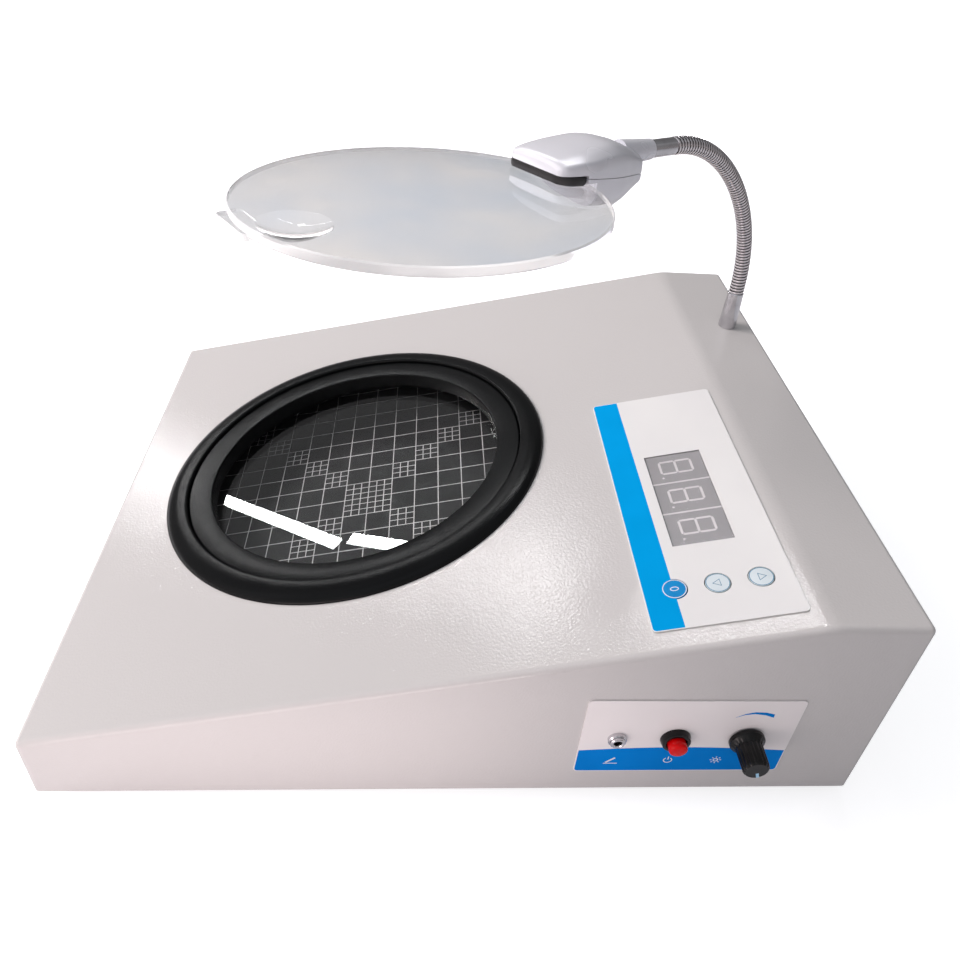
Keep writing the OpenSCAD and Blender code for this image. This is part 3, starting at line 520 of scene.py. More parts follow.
# %% Cut-outs of the cover
HOLE_R, KEY_HOLE_R, BUSH_R, BARREL_R, SOCKET_R, INLET_R, STUD_R = 70.0, 4.1, 3.55, 4.35, 2.45, 5.45, 3.05
WELL_STEPS, HOLE_STEPS, FLANGE_W, CUT, WINDOW_ROUND = 128, 48, 10.0, 4.0, 0.2
cover = carved(swept_cover(0, FOOT_H), swept_cover(SHEET, FOOT_H - CUT))
window_outline = rounded_box(WINDOW_X0, WINDOW_S0, WINDOW_X1, WINDOW_S1, WINDOW_ROUND, 2)
cover = carved(cover, moved(plate(window_outline, -CUT, CUT), slope))
round_holes = [(well, HOLE_R), (on_side(KNOB_Y, CONTROL_Z), BUSH_R), (on_side(PUSH_Y, CONTROL_Z), BARREL_R),
               (on_side(JACK_Y, CONTROL_Z), SOCKET_R), (rear, INLET_R), (neck, STUD_R)]
round_holes += [(slope @ at(KEY_X, KEY_S + k * KEY_PITCH, 0), KEY_HOLE_R) for k in range(len(KEYS))]
for place, radius in round_holes:
    drill = rod(radius, -CUT, CUT, WELL_STEPS if radius == HOLE_R else HOLE_STEPS)
    cover = carved(cover, moved(drill, place))
flange_y, shell = CASE_D / 2 - 2 * SHEET, [cover]
for side in (-1, 1):
    x0, x1 = sorted(side * (CASE_W / 2 - SHEET / 2 - reach) for reach in (0, FLANGE_W))
    shell.append(plate(rectangle(x0, -flange_y, x1, flange_y), FOOT_H + SHEET, FOOT_H + 2 * SHEET))
case_cover = piece("case_cover", gather(shell), Matrix(), powder_coat, ["case_shell"])
# Large flat faces stay flat beside their rounded edges: the larger face sets the normal.
even = case_cover.modifiers.new("even_normals", "WEIGHTED_NORMAL")
even.mode, even.weight, even.keep_sharp = "FACE_AREA", 100, True
print("cover:", len(case_cover.data.polygons), "faces")

# %% [markdown]
# Under the case are four rubber feet and plain zinc-plated screws. Rubber is dull, a little grey with
# dust and wear; zinc plate is a soft pale metal with a faint cloudiness.

# %% Feet and fasteners
foot_rubber = new_finish("moulded_black_rubber", (4, "202020", "2E2D2C", 0.7, 0.85))
zinc_plate = new_finish("zinc_plated_steel", (3, "C4C7CB", "AEB2B8", 0.28, 0.42), Metallic=1.0)
dress(zinc_plate, "base_screws", "foot_screws", "led_posts", "board_posts", "push_switch_nut", "pot_nut",
      "power_inlet_nut", "neck_nut", "head_screws", "pot_shaft")
FOOT_R, FOOT_EDGE, FOOT_INSET = 8, 1.0, 20
foot_edge = arc((FOOT_R - FOOT_EDGE, FOOT_EDGE), FOOT_EDGE, -75, 0, 5)
foot_profile = [(0, 0), (FOOT_R - FOOT_EDGE, 0)] + foot_edge + [(FOOT_R, FOOT_H), (0, FOOT_H)]
foot_x, foot_y = CASE_W / 2 - FOOT_INSET, CASE_D / 2 - FOOT_INSET
feet = [moved(lathe(foot_profile, 48), at(x, y, 0)) for x in (-foot_x, foot_x) for y in (-foot_y, foot_y)]
piece("rubber_feet", gather(feet), Matrix(), foot_rubber, ["feet"])
print("feet and fasteners dressed")

# %% [markdown]
# The ring round the well is moulded in two pieces of black ABS: an outer bead that laps onto the slope,
# and an inner ring that the culture dish is set into. A fine dark seam runs between them. The mould was
# spark-eroded, which leaves a satin skin that spreads the highlights along the curve.

# %% Ring of the counting well
BEZEL_R, BEZEL_H, SEAM_R, SEAM_GAP, RING_STEPS = 76.5, 3.0, 67.6, 0.3, 256
BEAD_TOP_R, BEAD_LIP = 70.4, 0.9
LEDGE_R, LEDGE_Z, LEDGE_T = 61.3, -8.0, 2.0
DISH_R, DISH_CROWN, GLASS_Z, BAND_EDGE, BAND_DIP = 58.2, 1.6, -5.0, 0.6, 0.55
satin_abs = new_finish("moulded_black_abs_satin", (25, "090A0B", "0C0D0E", 0.22, 0.26),
                       (0.45, 0.006), IOR=1.53, Specular_IOR_Level=0.15)
lip = arc((SEAM_R + BEAD_LIP, BEZEL_H - BEAD_LIP), BEAD_LIP, 180, 90, 6)
bead = oval((BEAD_TOP_R, 0), BEZEL_R - BEAD_TOP_R, BEZEL_H, 90, 0, 16)
wall_r, ledge_low = HOLE_R - SEAM_GAP, LEDGE_Z - LEDGE_T
outer_ring = lip + bead + [(wall_r, 0), (wall_r, ledge_low), (LEDGE_R, ledge_low), (LEDGE_R, LEDGE_Z),
                           (SEAM_R, LEDGE_Z)]
piece("bezel_bead", lathe(outer_ring, RING_STEPS, True), well, satin_abs, ["bezel_ring"])
band_r = SEAM_R - SEAM_GAP
dish_ring = [(DISH_R, GLASS_Z), (band_r, GLASS_Z)]
dish_ring += arc((band_r - BAND_EDGE, DISH_CROWN - BAND_EDGE), BAND_EDGE, 0, 90, 5)
dish_ring += arc((DISH_R + BAND_EDGE, DISH_CROWN - BAND_DIP - BAND_EDGE), BAND_EDGE, 90, 180, 5)
piece("dish_seat_ring", lathe(dish_ring, RING_STEPS, True), well, satin_abs, ["dish_ring"])
print("ring: bead", 2 * BEZEL_R, "mm across")

# %% [markdown]
# Under the ring lies a plate of float glass, and 23 mm below the slope a black plate printed with a
# counting grid: 10 mm squares, with the squares on both diagonals and the middle four divided again by
# three. The print is drawn as flat strips, two hundredths of a millimetre proud, so that the lines stay
# sharp from any distance. Level lines are a hair higher, so that no faces coincide at a crossing.

# %% Glass, grid and lamp drum
GRID_Z, GRID_R, CELL, GRID_LINES, FINE_REACH, LINE_W = -23.0, 84.0, 10.0, 8, 5, 0.36
GRID_INK_LOW, INK_LOW, INK_T, CROSS_LIFT = 0.005, 0.004, 0.02, 0.001
# Clear, with the tubes mirrored in it.
float_glass = new_finish("float_glass", "F4FAF8", Roughness=0.0, IOR=1.52, Transmission_Weight=1.0)
dress(float_glass, "glass_plate")
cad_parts["glass_plate"].visible_shadow = False
# Deep black with a soft sheen.
grid_black = new_finish("screen_printed_black_acrylic", (40, "0C0A0C", "120F12", 0.3, 0.42),
                        Specular_IOR_Level=0.2)
dress(grid_black, "grid_plate")
# Pale lines, a little uneven as screen ink is.
grid_ink = new_finish("pale_screen_ink", (8, "BBB6B8", "A29DA0", 0.5, 0.6))
# Dull black that swallows stray light.
drum_black = new_finish("matt_black_moulded_drum", "131315", (0.6, 0.01), Roughness=0.6)
dress(drum_black, "lamp_housing", "tact_switches")
ink_low, ink_high = GRID_Z + GRID_INK_LOW, GRID_Z + INK_T


def cross(x, y, x_span, y_span):
    """An upright line at x and a level line at y, each over its span."""
    return [strip(x, y_span[0], x, y_span[1], LINE_W, ink_low, ink_high),
            strip(x_span[0], y, x_span[1], y, LINE_W, ink_low, ink_high + CROSS_LIFT)]


lines = []
for offset in (k * CELL for k in range(-GRID_LINES, GRID_LINES + 1)):
    reach = sqrt(GRID_R ** 2 - offset ** 2)
    lines += cross(offset, offset, (-reach, reach), (-reach, reach))
fine_cells = sorted({(a, b) for k in range(FINE_REACH + 1) for a in (k, -1 - k) for b in (k, -1 - k)})
for x0, y0 in ((a * CELL, b * CELL) for a, b in fine_cells):
    for third in (CELL / 3, 2 * CELL / 3):
        lines += cross(x0 + third, y0 + third, (x0, x0 + CELL), (y0, y0 + CELL))
piece("counting_grid_print", gather(lines), well, grid_ink)
print("grid lines:", len(fine_cells), "fine cells")

# %% Lamp ring and boards
# Green lacquer over glass cloth, and the yellow gel of a lamp that is off.
board_green = new_finish("solder_masked_glass_epoxy", (12, "1B5831", "226A3C", 0.35, 0.5))
lamp_phosphor = new_finish("phosphor_lamp_chip", (1, "F3E9B4", "E6D78C", 0.4, 0.5))
dress(board_green, "led_board", "counter_board")
dress(lamp_phosphor, "led_chips")
print("lamp ring dressed")

# %% [markdown]
# The counter panel is a printed polyester film stuck to the slope: white, with a sky-blue strip along
# its lower edge, a grey window for three digits, and three embossed keys. The inks are laid on as thin
# plates. The words of the real panel are left off.

# %% Counter panel film and blue strip
PANEL_X0, PANEL_X1, PANEL_S0, STRIP_S = -8.5, 107.2, 195.1, 204.8
FILM_T, FILM_R, FILM_EDGE, FILM_GRAIN = 0.5, 1.5, 0.3, (0.5, 0.003)
FILM, FLAT_INK = {"IOR": 1.58, "Specular_IOR_Level": 0.25}, {"IOR": 1.5, "Specular_IOR_Level": 0.02}
# Film has a satin face with a very fine grain; ink is flat and strong in colour.
film_white = new_finish("polyester_overlay_white", (30, "DEDEDD", "DADADA", 0.3, 0.38), FILM_GRAIN, **FILM)
# The side panel's copy of the film is painted lighter and pinker than the slope's: painted light, for the
# light that falls on the side wall.
film_side_painted_light = new_finish("polyester_overlay_painted_side_light", (30, "E9E5E5", "E5E1E1", 0.3, 0.38),
                       FILM_GRAIN, **FILM)
ink_sky = new_finish("screen_ink_sky_blue", (20, "0099DC", "0094D5", 0.4, 0.5), **FLAT_INK)
dress(film_white, "counter_panel")
dress(film_side_painted_light, "side_panel")
ink_base, ink_top = FILM_T + INK_LOW, FILM_T + INK_T


def film_foot(x0, x1, y0):
    """Lower edge of a printed field, with its two rounded corners."""
    round_r, y = FILM_R - FILM_EDGE, y0 + FILM_R
    return arc((x0 + FILM_R, y), round_r, 180, 270, 8) + arc((x1 - FILM_R, y), round_r, 270, 360, 8)


strip_outline = [(PANEL_X0 + FILM_EDGE, STRIP_S)] + film_foot(PANEL_X0, PANEL_X1, PANEL_S0)
strip_outline.append((PANEL_X1 - FILM_EDGE, STRIP_S))
piece("panel_blue_strip", plate(strip_outline, ink_base, ink_top), slope, ink_sky)
print("panel strip:", round(STRIP_S - PANEL_S0, 1), "mm wide")

# %% [markdown]
# The three digits are ordinary seven-segment modules, 11 mm high: grey epoxy blocks with milky bars.
# Unlit, the bars are paler than the face. Each bar is a thin plate with mitred ends, and a clear cover
# lies over them in the window.

# %% Seven-segment display
DIGITS, MODULE_GAP, MODULE_H, MODULE_EDGE, MODULE_ROUND = 3, 0.1, 8.0, 0.25, 0.3
DIGIT_H, DIGIT_W, DIGIT_LEFT, BAR_W, BAR_GAP, BAR_T = 11.2, 6.4, 0.6, 0.85, 0.1, 0.03
POINT_X, GLINT_STRIP_W, GLINT_STRIP_ROUND = 2.2, 0.7, 0.1
display_face = new_finish("grey_epoxy_display_face", (6, "9C9C9C", "969797", 0.4, 0.5))
bar_and_glint_milk = new_finish("milky_epoxy_bar_and_painted_glint", (3, "D0CFCF", "C5C4C4", 0.35, 0.45))
module_w = (WINDOW_X1 - WINDOW_X0) / DIGITS


def digit_bar(x0, y0, x1, y1):
    """Outline of one bar with mitred ends."""
    run = (Vector((x1, y1)) - Vector((x0, y0))).normalized()
    side = Vector((-run.y, run.x)) * BAR_W / 2
    a, b = Vector((x0, y0)) + run * BAR_GAP, Vector((x1, y1)) - run * BAR_GAP
    tip = run * BAR_W / 2
    return [tuple(p) for p in (a, a + tip - side, b - tip - side, b, b - tip + side, a + tip + side)]


blocks, bar_and_glint_plates = [], []
s0, s1 = WINDOW_S0 + MODULE_GAP, WINDOW_S1 - MODULE_GAP
for k in range(DIGITS):
    edge_x = WINDOW_X0 + k * module_w
    x0, x1 = edge_x + MODULE_GAP, WINDOW_X0 + (k + 1) * module_w - MODULE_GAP
    foot, head = (rounded_box(x0 + e, s0 + e, x1 - e, s1 - e, MODULE_ROUND, 2) for e in (0, MODULE_EDGE))
    blocks.append(loft([raised(foot, -MODULE_H), raised(foot, -MODULE_EDGE), raised(head, 0)]))
    left, right = ((x0 + x1) / 2 + half - DIGIT_LEFT for half in (-DIGIT_W / 2, DIGIT_W / 2))
    bottom = (s0 + s1) / 2 - DIGIT_H / 2
    middle, top = bottom + DIGIT_H / 2, bottom + DIGIT_H
    bar_ends = [(left, y, right, y) for y in (bottom, middle, top)]
    bar_ends += [(x, low, x, high) for low, high in ((bottom, middle), (middle, top)) for x in (left, right)]
    outlines = [digit_bar(*ends) for ends in bar_ends]
    outlines.append(arc((right + POINT_X, bottom), BAR_W / 2, 0, 345, 23))
    # A pale strip over the joint between two modules is a painted highlight, for the light that their
    # bevelled edges catch.
    if k:
        outlines.append(rounded_box(edge_x - GLINT_STRIP_W / 2, s0, edge_x + GLINT_STRIP_W / 2, s1, GLINT_STRIP_ROUND, 2))
    bar_and_glint_plates += [plate(outline, INK_LOW, BAR_T) for outline in outlines]
piece("digit_modules", gather(blocks), slope, display_face, ["display_digits"])
piece("digit_bars_and_painted_glints", gather(bar_and_glint_plates), slope, bar_and_glint_milk)
# Clear with a slight haze.
window_clear = new_finish("smoked_polyester_window", "DAD9DC", Roughness=0.12, IOR=1.5,
                          Transmission_Weight=1.0)
dress(window_clear, "display_window")
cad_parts["display_window"].visible_shadow = False
print("digits:", DIGITS, "modules of", round(module_w, 1), "mm")

# %% [markdown]
# A membrane key is the same film, pushed up a little by a punch, with its symbol printed on top. Each
# key rides on its own body, so its print does too: a blue key with a plain zero, and two pale keys with
# a triangle down and a triangle up.

# %% Membrane keys
KEY_R, KEY_LOW, KEY_TOP, KEY_ROUND, STEM_R, STEM_Z = 3.8, -1.2, 0.62, 0.1, 1.5, -3.8
RIM_IN, RIM_OUT, LINE, TRIANGLE_R = 3.42, 3.68, 0.2, 1.75
ZERO_W, ZERO_H, ZERO_LINE = 0.85, 1.35, 0.28
# The keys have the panel's satin; the inks of the lines are flat.
film_pale = new_finish("polyester_key_pale_blue", (6, "CDD8DD", "C8D3D8", 0.28, 0.36), **FILM)
ink_deep = new_finish("screen_ink_key_blue", (6, "0886C8", "067FBF", 0.28, 0.36),
                      IOR=1.5, Specular_IOR_Level=0.15)
ink_line = new_finish("screen_ink_grey_blue", (4, "4E84A2", "447996", 0.35, 0.45), IOR=1.5)
ink_white = new_finish("screen_ink_white", (4, "DDE0E2", "D7DADD", 0.3, 0.4), IOR=1.5)
key_edge = arc((KEY_R - KEY_ROUND, KEY_TOP - KEY_ROUND), KEY_ROUND, 15, 90, 5)
key_profile = [(0, KEY_LOW), (KEY_R, KEY_LOW), (KEY_R, KEY_TOP - KEY_ROUND)] + key_edge + [(0, KEY_TOP)]
rim_lines = [arc((0, 0), r, 0, 352.5, 47) for r in (RIM_OUT, RIM_IN)]
zero = [oval((0, 0), ZERO_W - w, ZERO_H - w, 0, 350, 35) for w in (0, ZERO_LINE)]
point_down, point_up = ([oval((0, 0), r, way * r, 90, 330, 2) for r in (TRIANGLE_R, TRIANGLE_R - 2 * LINE)]
                        for way in (-1, 1))
KEY_LOOKS = ((ink_deep, "key_blue", ink_white, zero), (film_pale, "panel_film", ink_line, point_down),
             (film_pale, "panel_film", ink_line, point_up))
for row, (name, (fill, slot, line, sign)) in enumerate(zip(KEYS, KEY_LOOKS)):
    place, body = slope @ at(KEY_X, KEY_S + row * KEY_PITCH, 0), "key_" + name
    cap = gather([lathe(key_profile, 64), rod(STEM_R, STEM_Z, KEY_LOW, 32)])
    piece(body + "_cap", cap, place, fill, [body], body)
    marks = [band(*outlines, KEY_TOP + INK_LOW, KEY_TOP + INK_T) for outlines in (rim_lines, sign)]
    piece(body + "_print", gather(marks), place, line, (), body)
print("keys:", len(KEYS))

# %% [markdown]
# The panel on the right side is the same film: white above, blue below, with an arched edge between
# them, and a crescent over the knob that means brightness. Small signs stand where the real panel has
# words: a pen point, the usual mark for a mains switch, and a lamp.

# %% Side panel print
SIDE_Y0, SIDE_Y1, SIDE_Z0 = 37.9, 106.2, FOOT_H + 11
ARCH_LOW, ARCH_RISE, ARCH_FROM, ARCH_SPAN, ARCH_STEPS = 10.9, 2.5, 0.12, 0.8, 32
CRESCENT = [(47.3, 29.4, 0.08), (50.0, 31.0, 0.5), (53.0, 31.7, 0.95), (56.5, 31.3, 1.35), (59.4, 30.2, 1.7)]
# Strong flat blue, without gloss.
ink_side = new_finish("screen_ink_mid_blue", (20, "007CD2", "0074C6", 0.4, 0.5), **FLAT_INK)
side = on_side(SIDE_Y0, SIDE_Z0)
side_w = SIDE_Y1 - SIDE_Y0
side_band = []
for share in (k / ARCH_STEPS for k in range(ARCH_STEPS, -1, -1)):
    side_band.append((FILM_EDGE + (side_w - 2 * FILM_EDGE) * share,
                      ARCH_LOW + ARCH_RISE * sin(pi * (ARCH_FROM + ARCH_SPAN * share))))
side_band += film_foot(0, side_w, 0)
piece("side_blue_band", plate(side_band, ink_base, ink_top), side, ink_side)
crescent = [(x, y + t / 2) for x, y, t in CRESCENT[::-1]] + [(x, y - t / 2) for x, y, t in CRESCENT]
piece("brightness_crescent", plate(crescent, ink_base, ink_top), side, ink_side)
print("side panel:", round(side_w, 1), "mm wide")

# %% Signs on the side panel
SIGN_Z, SIGN_R, SIGN_LINE, BREAK_LOW, BREAK_OVER = 6.2, 1.5, 0.34, 0.3, 0.5
PEN_TIP, PEN_END, PEN_LINE, PEN_LINE_Z = (-1.6, -1.2), (1.2, 1.4), 2.3, -1.7
LAMP_LEFT, LAMP_R, RAYS, RAY_IN, RAY_OUT = 7, 0.9, 8, 1.3, 1.9
SIGN_INK = (ink_top, FILM_T + 2 * INK_T)


def open_ring(x, r, start, end):
    """Printed ring, or part of one, round a point on the line of the signs."""
    outer, inner = (arc((x, SIGN_Z), r - w, start, end, 28) for w in (0, SIGN_LINE))
    return plate(outer + inner[::-1], *SIGN_INK)


def stroke(x, start, end, width=SIGN_LINE):
    """Printed line between two points, measured from a point on the line of the signs."""
    return strip(x + start[0], SIGN_Z + start[1], x + end[0], SIGN_Z + end[1], width, *SIGN_INK)


push_x, jack_x, lamp_x = PUSH_Y - SIDE_Y0, JACK_Y - SIDE_Y0, KNOB_Y - SIDE_Y0 - LAMP_LEFT
signs = [open_ring(push_x, SIGN_R, 125, 415), stroke(push_x, (0, BREAK_LOW), (0, SIGN_R + BREAK_OVER)),
         stroke(jack_x, PEN_TIP, PEN_END, 2 * SIGN_LINE),
         stroke(jack_x, (-PEN_LINE, PEN_LINE_Z), (PEN_LINE, PEN_LINE_Z)), open_ring(lamp_x, LAMP_R, 0, 359)]
for k in range(RAYS):
    ray = Vector((cos(tau * k / RAYS), sin(tau * k / RAYS)))
    signs.append(stroke(lamp_x, RAY_IN * ray, RAY_OUT * ray))
piece("side_signs", gather(signs), side, ink_white)
print("signs printed")

# %% [markdown]
# Three controls stand out of the side panel. The pen socket is a turned and chromed sleeve with a thin
# round nut. Chrome plate is a mirror with very fine polishing marks, so its roughness is small but not
# nothing.

# %% Pen socket
chrome = new_finish("chrome_plated_steel", (5, "D4D3D6", "C4C2C6", 0.08, 0.17), Metallic=1.0)
JACK_R, JACK_BORE, JACK_REACH, JACK_EASE, JACK_FLARE = 2.4, 1.3, 2.7, 0.25, 0.3
JACK_BODY_R, JACK_BODY_Z, JACK_FLOOR, JACK_BACK = 3.0, -1.2, -7.8, -9
NUT_BORE, NUT_R, NUT_TOP, NUT_EASE = 2.45, 3.0, FILM_T + 1.4, 0.35
jack_place = on_side(JACK_Y, CONTROL_Z)
jack_profile = [(JACK_BORE, JACK_FLOOR), (JACK_BORE, JACK_REACH - JACK_EASE),
                (JACK_BORE + JACK_FLARE, JACK_REACH), (JACK_R - JACK_EASE, JACK_REACH),
                (JACK_R, JACK_REACH - JACK_EASE), (JACK_R, JACK_BODY_Z), (JACK_BODY_R, JACK_BODY_Z),
                (JACK_BODY_R, JACK_BACK), (0, JACK_BACK), (0, JACK_FLOOR)]
piece("pen_socket_sleeve", lathe(jack_profile, 64), jack_place, chrome, ["pen_jack"])
nut_profile = [(NUT_BORE, FILM_T), (NUT_R, FILM_T), (NUT_R, NUT_TOP - NUT_EASE), (NUT_R - NUT_EASE, NUT_TOP),
               (NUT_BORE, NUT_TOP)]
piece("pen_socket_nut", lathe(nut_profile, 64, True), jack_place, chrome, ["pen_jack_nut"])
print("pen socket: bore", 2 * JACK_BORE, "mm")

# %% [markdown]
# The push switch has a black moulded bezel and a red cap. Injection-moulded ABS straight from a polished
# mould is glossy, and the cap's colour goes right through it.

# %% Push switch
gloss_black = new_finish("moulded_black_abs_gloss", (3, "080708", "0C0B0C", 0.16, 0.22),
                         IOR=1.53, Specular_IOR_Level=0.25)
red_abs = new_finish("moulded_red_abs", (3, "D40408", "CA0307", 0.1, 0.14),
                     IOR=1.53, Specular_IOR_Level=0.15)
PUSH_BORE, PUSH_EASE, PUSH_FLOOR, PUSH_BARREL, PUSH_BACK = 3.2, 0.3, -5, 4.3, -9
BEZEL_TOP, BEZEL_FOOT = FILM_T + 2.2, FILM_T + 0.6
BEZEL_FLAT, BEZEL_BEVEL, BEZEL_OUT = (4.1, BEZEL_TOP), (4.5, BEZEL_TOP - 0.2), 4.85
PUSH_R, PUSH_REACH, PUSH_LOW, PUSH_DOME, DOME_FOOT, DOME_SOFT = 3.0, 5.6, -2.2, 1.0, 0.5, 0.55
push_place = on_side(PUSH_Y, CONTROL_Z)
bezel_profile = [(PUSH_BORE, PUSH_FLOOR), (PUSH_BORE, BEZEL_TOP - PUSH_EASE),
                 (PUSH_BORE + PUSH_EASE, BEZEL_TOP), BEZEL_FLAT, BEZEL_BEVEL, (BEZEL_OUT, BEZEL_FOOT),
                 (BEZEL_OUT, FILM_T), (PUSH_BARREL, FILM_T), (PUSH_BARREL, PUSH_BACK), (0, PUSH_BACK),
                 (0, PUSH_FLOOR)]
piece("push_switch_bezel", lathe(bezel_profile, 96), push_place, gloss_black, ["push_switch"])
dome_z = PUSH_REACH - PUSH_DOME
cap_profile = [(0, PUSH_LOW), (PUSH_R, PUSH_LOW), (PUSH_R, dome_z - DOME_FOOT)]
for a in (radians(t) for t in range(0, 90, 6)):
    cap_profile.append((PUSH_R * cos(a) ** DOME_SOFT, dome_z + PUSH_DOME * sin(a)))
cap_profile.append((0, PUSH_REACH))
piece("push_cap_red", lathe(cap_profile, 96), push_place, red_abs, ["push_cap"], "push_cap")
print("push cap reaches", PUSH_REACH, "mm")

# %% [markdown]
# The knob is a black phenolic moulding with a skirt, a fluted grip and a pale-blue pointer let into its
# end. Fluting is a wave in the radius, so one loft makes it: every ring has the same count of points, and
# the wave grows from nothing at the skirt to full depth on the grip.

# %% Fluted knob
# Semi-gloss black with a fine tooth.
phenolic = new_finish("moulded_black_phenolic", (4, "070707", "0B0B0B", 0.18, 0.26),
                      (0.5, 0.006), IOR=1.6, Specular_IOR_Level=0.22)
KNOB_FOOT, KNOB_END, SKIRT_R, GRIP_R, FLUTES, FLUTE_DEPTH, KNOB_STEPS = 0.9, 12.0, 5.7, 4.35, 16, 0.3, 12
# Height, radius and share of the flutes' depth, from the skirt to the end.
KNOB_LEVELS = [(KNOB_FOOT, SKIRT_R - 0.25, 0), (KNOB_FOOT + 0.25, SKIRT_R, 0), (2.4, SKIRT_R, 0),
               (2.75, SKIRT_R - 0.2, 0), (3.4, 4.8, 0.3), (4.2, GRIP_R + 0.05, 0.8), (4.8, GRIP_R, 1),
               (10.9, GRIP_R - 0.05, 1), (11.55, GRIP_R - 0.25, 0.7), (KNOB_END - 0.03, GRIP_R - 0.75, 0.2)]
CAVITY_R, CAVITY_Z, BORE_R, BORE_Z = 5.0, 2.7, 3.05, 8.9
KNOB_INSIDE = [(BORE_Z, BORE_R, 0), (CAVITY_Z, BORE_R, 0), (CAVITY_Z, CAVITY_R, 0), (KNOB_FOOT, CAVITY_R, 0)]


def fluted(z, radius, share):
    """Ring of the knob: its radius dips between the ribs by a share of the flutes' depth."""
    count, ring = FLUTES * KNOB_STEPS, []
    for k in range(count):
        wave = 0.5 + 0.5 * cos(tau * k / KNOB_STEPS)
        r, a = radius - FLUTE_DEPTH * share * wave ** 2, tau * k / count
        ring.append((r * cos(a), r * sin(a), z))
    return ring


knob_place = on_side(KNOB_Y, CONTROL_Z)
knob = loft([fluted(*ring) for ring in KNOB_INSIDE + KNOB_LEVELS])
piece("control_knob", knob, knob_place, phenolic, ["knob"], "knob")
POINTER_W, POINTER_TURN, POINTER_IN, POINTER_DEEP = 0.95, -72, 0.25, 0.12
POINTER_PATH = [(1.4, KNOB_END), (GRIP_R - 0.72, KNOB_END), (GRIP_R - 0.2, 11.6), (GRIP_R, 10.9),
                (GRIP_R, 9.6)]
# Paint rubbed into a groove, and the tin-grey can of the potentiometer behind the wall.
pointer_blue = new_finish("pale_blue_pointer_paint", (2, "A2CDE7", "92C0DC", 0.35, 0.45))
pot_metal = new_finish("tinned_steel_can", (4, "919195", "808085", 0.35, 0.5), Metallic=1.0)
half = POINTER_W / 2
pointer = loft([[(x, -half, z), (x, half, z), (x - POINTER_IN, half, z - POINTER_DEEP),
                 (x - POINTER_IN, -half, z - POINTER_DEEP)] for x, z in POINTER_PATH])
piece("knob_pointer", pointer, knob_place @ turn(POINTER_TURN, "Z"), pointer_blue, (), "knob")
dress(pot_metal, "potentiometer")
print("knob:", FLUTES, "flutes")

# %% [markdown]
# At the back, a black moulded inlet takes the plug of the mains adapter. The picture shows no back, so
# its form is a guess.

# %% Power inlet
INLET_BORE, INLET_EASE, INLET_OUT, INLET_BEVEL, INLET_T = 3.2, 0.3, 6.5, 0.4, 1.5
INLET_BARREL, INLET_FLOOR, INLET_BACK, PIN_R, PIN_TOP = 5.4, -10.8, -12, 1.0, -1.2
inlet_profile = [(INLET_BORE, INLET_FLOOR), (INLET_BORE, INLET_T - INLET_EASE),
                 (INLET_BORE + INLET_EASE, INLET_T), (INLET_OUT - INLET_BEVEL, INLET_T),
                 (INLET_OUT, INLET_T - INLET_BEVEL), (INLET_OUT, 0), (INLET_BARREL, 0),
                 (INLET_BARREL, INLET_BACK), (0, INLET_BACK), (0, INLET_FLOOR)]
pin_profile = [(0, INLET_FLOOR), (PIN_R, INLET_FLOOR), (PIN_R, PIN_TOP - INLET_BEVEL),
               (PIN_R - INLET_EASE, PIN_TOP), (0, PIN_TOP)]
inlet = gather([lathe(inlet_profile, 96), lathe(pin_profile, 32)])
piece("power_inlet_socket", inlet, rear, gloss_black, ["power_inlet"])
print("power inlet dressed")

# %% [markdown]
# The flexible neck is a chromed wire wound into a close coil, over a core that keeps its bend. Its
# surface is one long rounded thread, so the radius of every ring follows a half circle whose phase moves
# on with the length and with the angle: that makes it a helix and not a stack of rings.

# %% Centre line of the neck
NECK_TOP, NECK_RISE, NECK_REACH, NECK_LEAN, NECK_R, NECK_BORE = 17.45, 71.1, 60.6, 0.09, 3.2, 1.5
NECK_JOINTS, NECK_SIDES, WIND_PITCH, WIND_DEPTH, ROWS_PER_TURN = 10, 48, 1.45, 0.55, 12
NECK_FOOT, NECK_END, LENGTH_STEPS = -0.35, 90.0, 40


def neck_point(angle):
    """Point of the centre line: a quarter of an ellipse that leans in half way up."""
    t = radians(angle)
    lean = NECK_LEAN * sin(t) ** 2 * cos(t)
    return Vector((0, -NECK_REACH * (1 - cos(t) + lean), NECK_TOP + NECK_RISE * sin(t)))


def neck_length(start, end):
    """Length of the centre line between two angles."""
    points = [neck_point(start + (end - start) * k / LENGTH_STEPS) for k in range(LENGTH_STEPS + 1)]
    return sum((b - a).length for a, b in zip(points, points[1:]))


def neck_ring(angle, radius_at):
    """Ring of points round the centre line; radius_at gives the radius for a share of a turn."""
    t = radians(angle)
    pull = sin(t) * (1 + NECK_LEAN * (3 * cos(t) ** 2 - 1))
    along = Vector((0, -NECK_REACH * pull, NECK_RISE * cos(t))).normalized()
    across = Vector((1, 0, 0))
    up = along.cross(across)
    ring = []
    for k in range(NECK_SIDES):
        a = tau * k / NECK_SIDES
        radius = radius_at(k / NECK_SIDES)
        ring.append(neck_point(angle) + radius * (cos(a) * across + sin(a) * up))
    return ring


def thread_phase(length, share):
    """Place across the wire, from -1 to 1, at a length along the neck and a share of a turn."""
    return 2 * ((length / WIND_PITCH - share) % 1) - 1


def thread_radius(length):
    """Radius of the wound wire as a function of the share of a turn, at a length along the neck."""
    return lambda share: NECK_R - WIND_DEPTH * (1 - sqrt(1 - thread_phase(length, share) ** 2))


def coil_rows(start, end):
    """Lengths along the neck of the rows of points between two angles."""
    length_a, length_b = neck_length(NECK_FOOT, start), neck_length(NECK_FOOT, end)
    count = ceil((length_b - length_a) / WIND_PITCH * ROWS_PER_TURN)
    return [length_a + (length_b - length_a) * k / count for k in range(count + 1)]


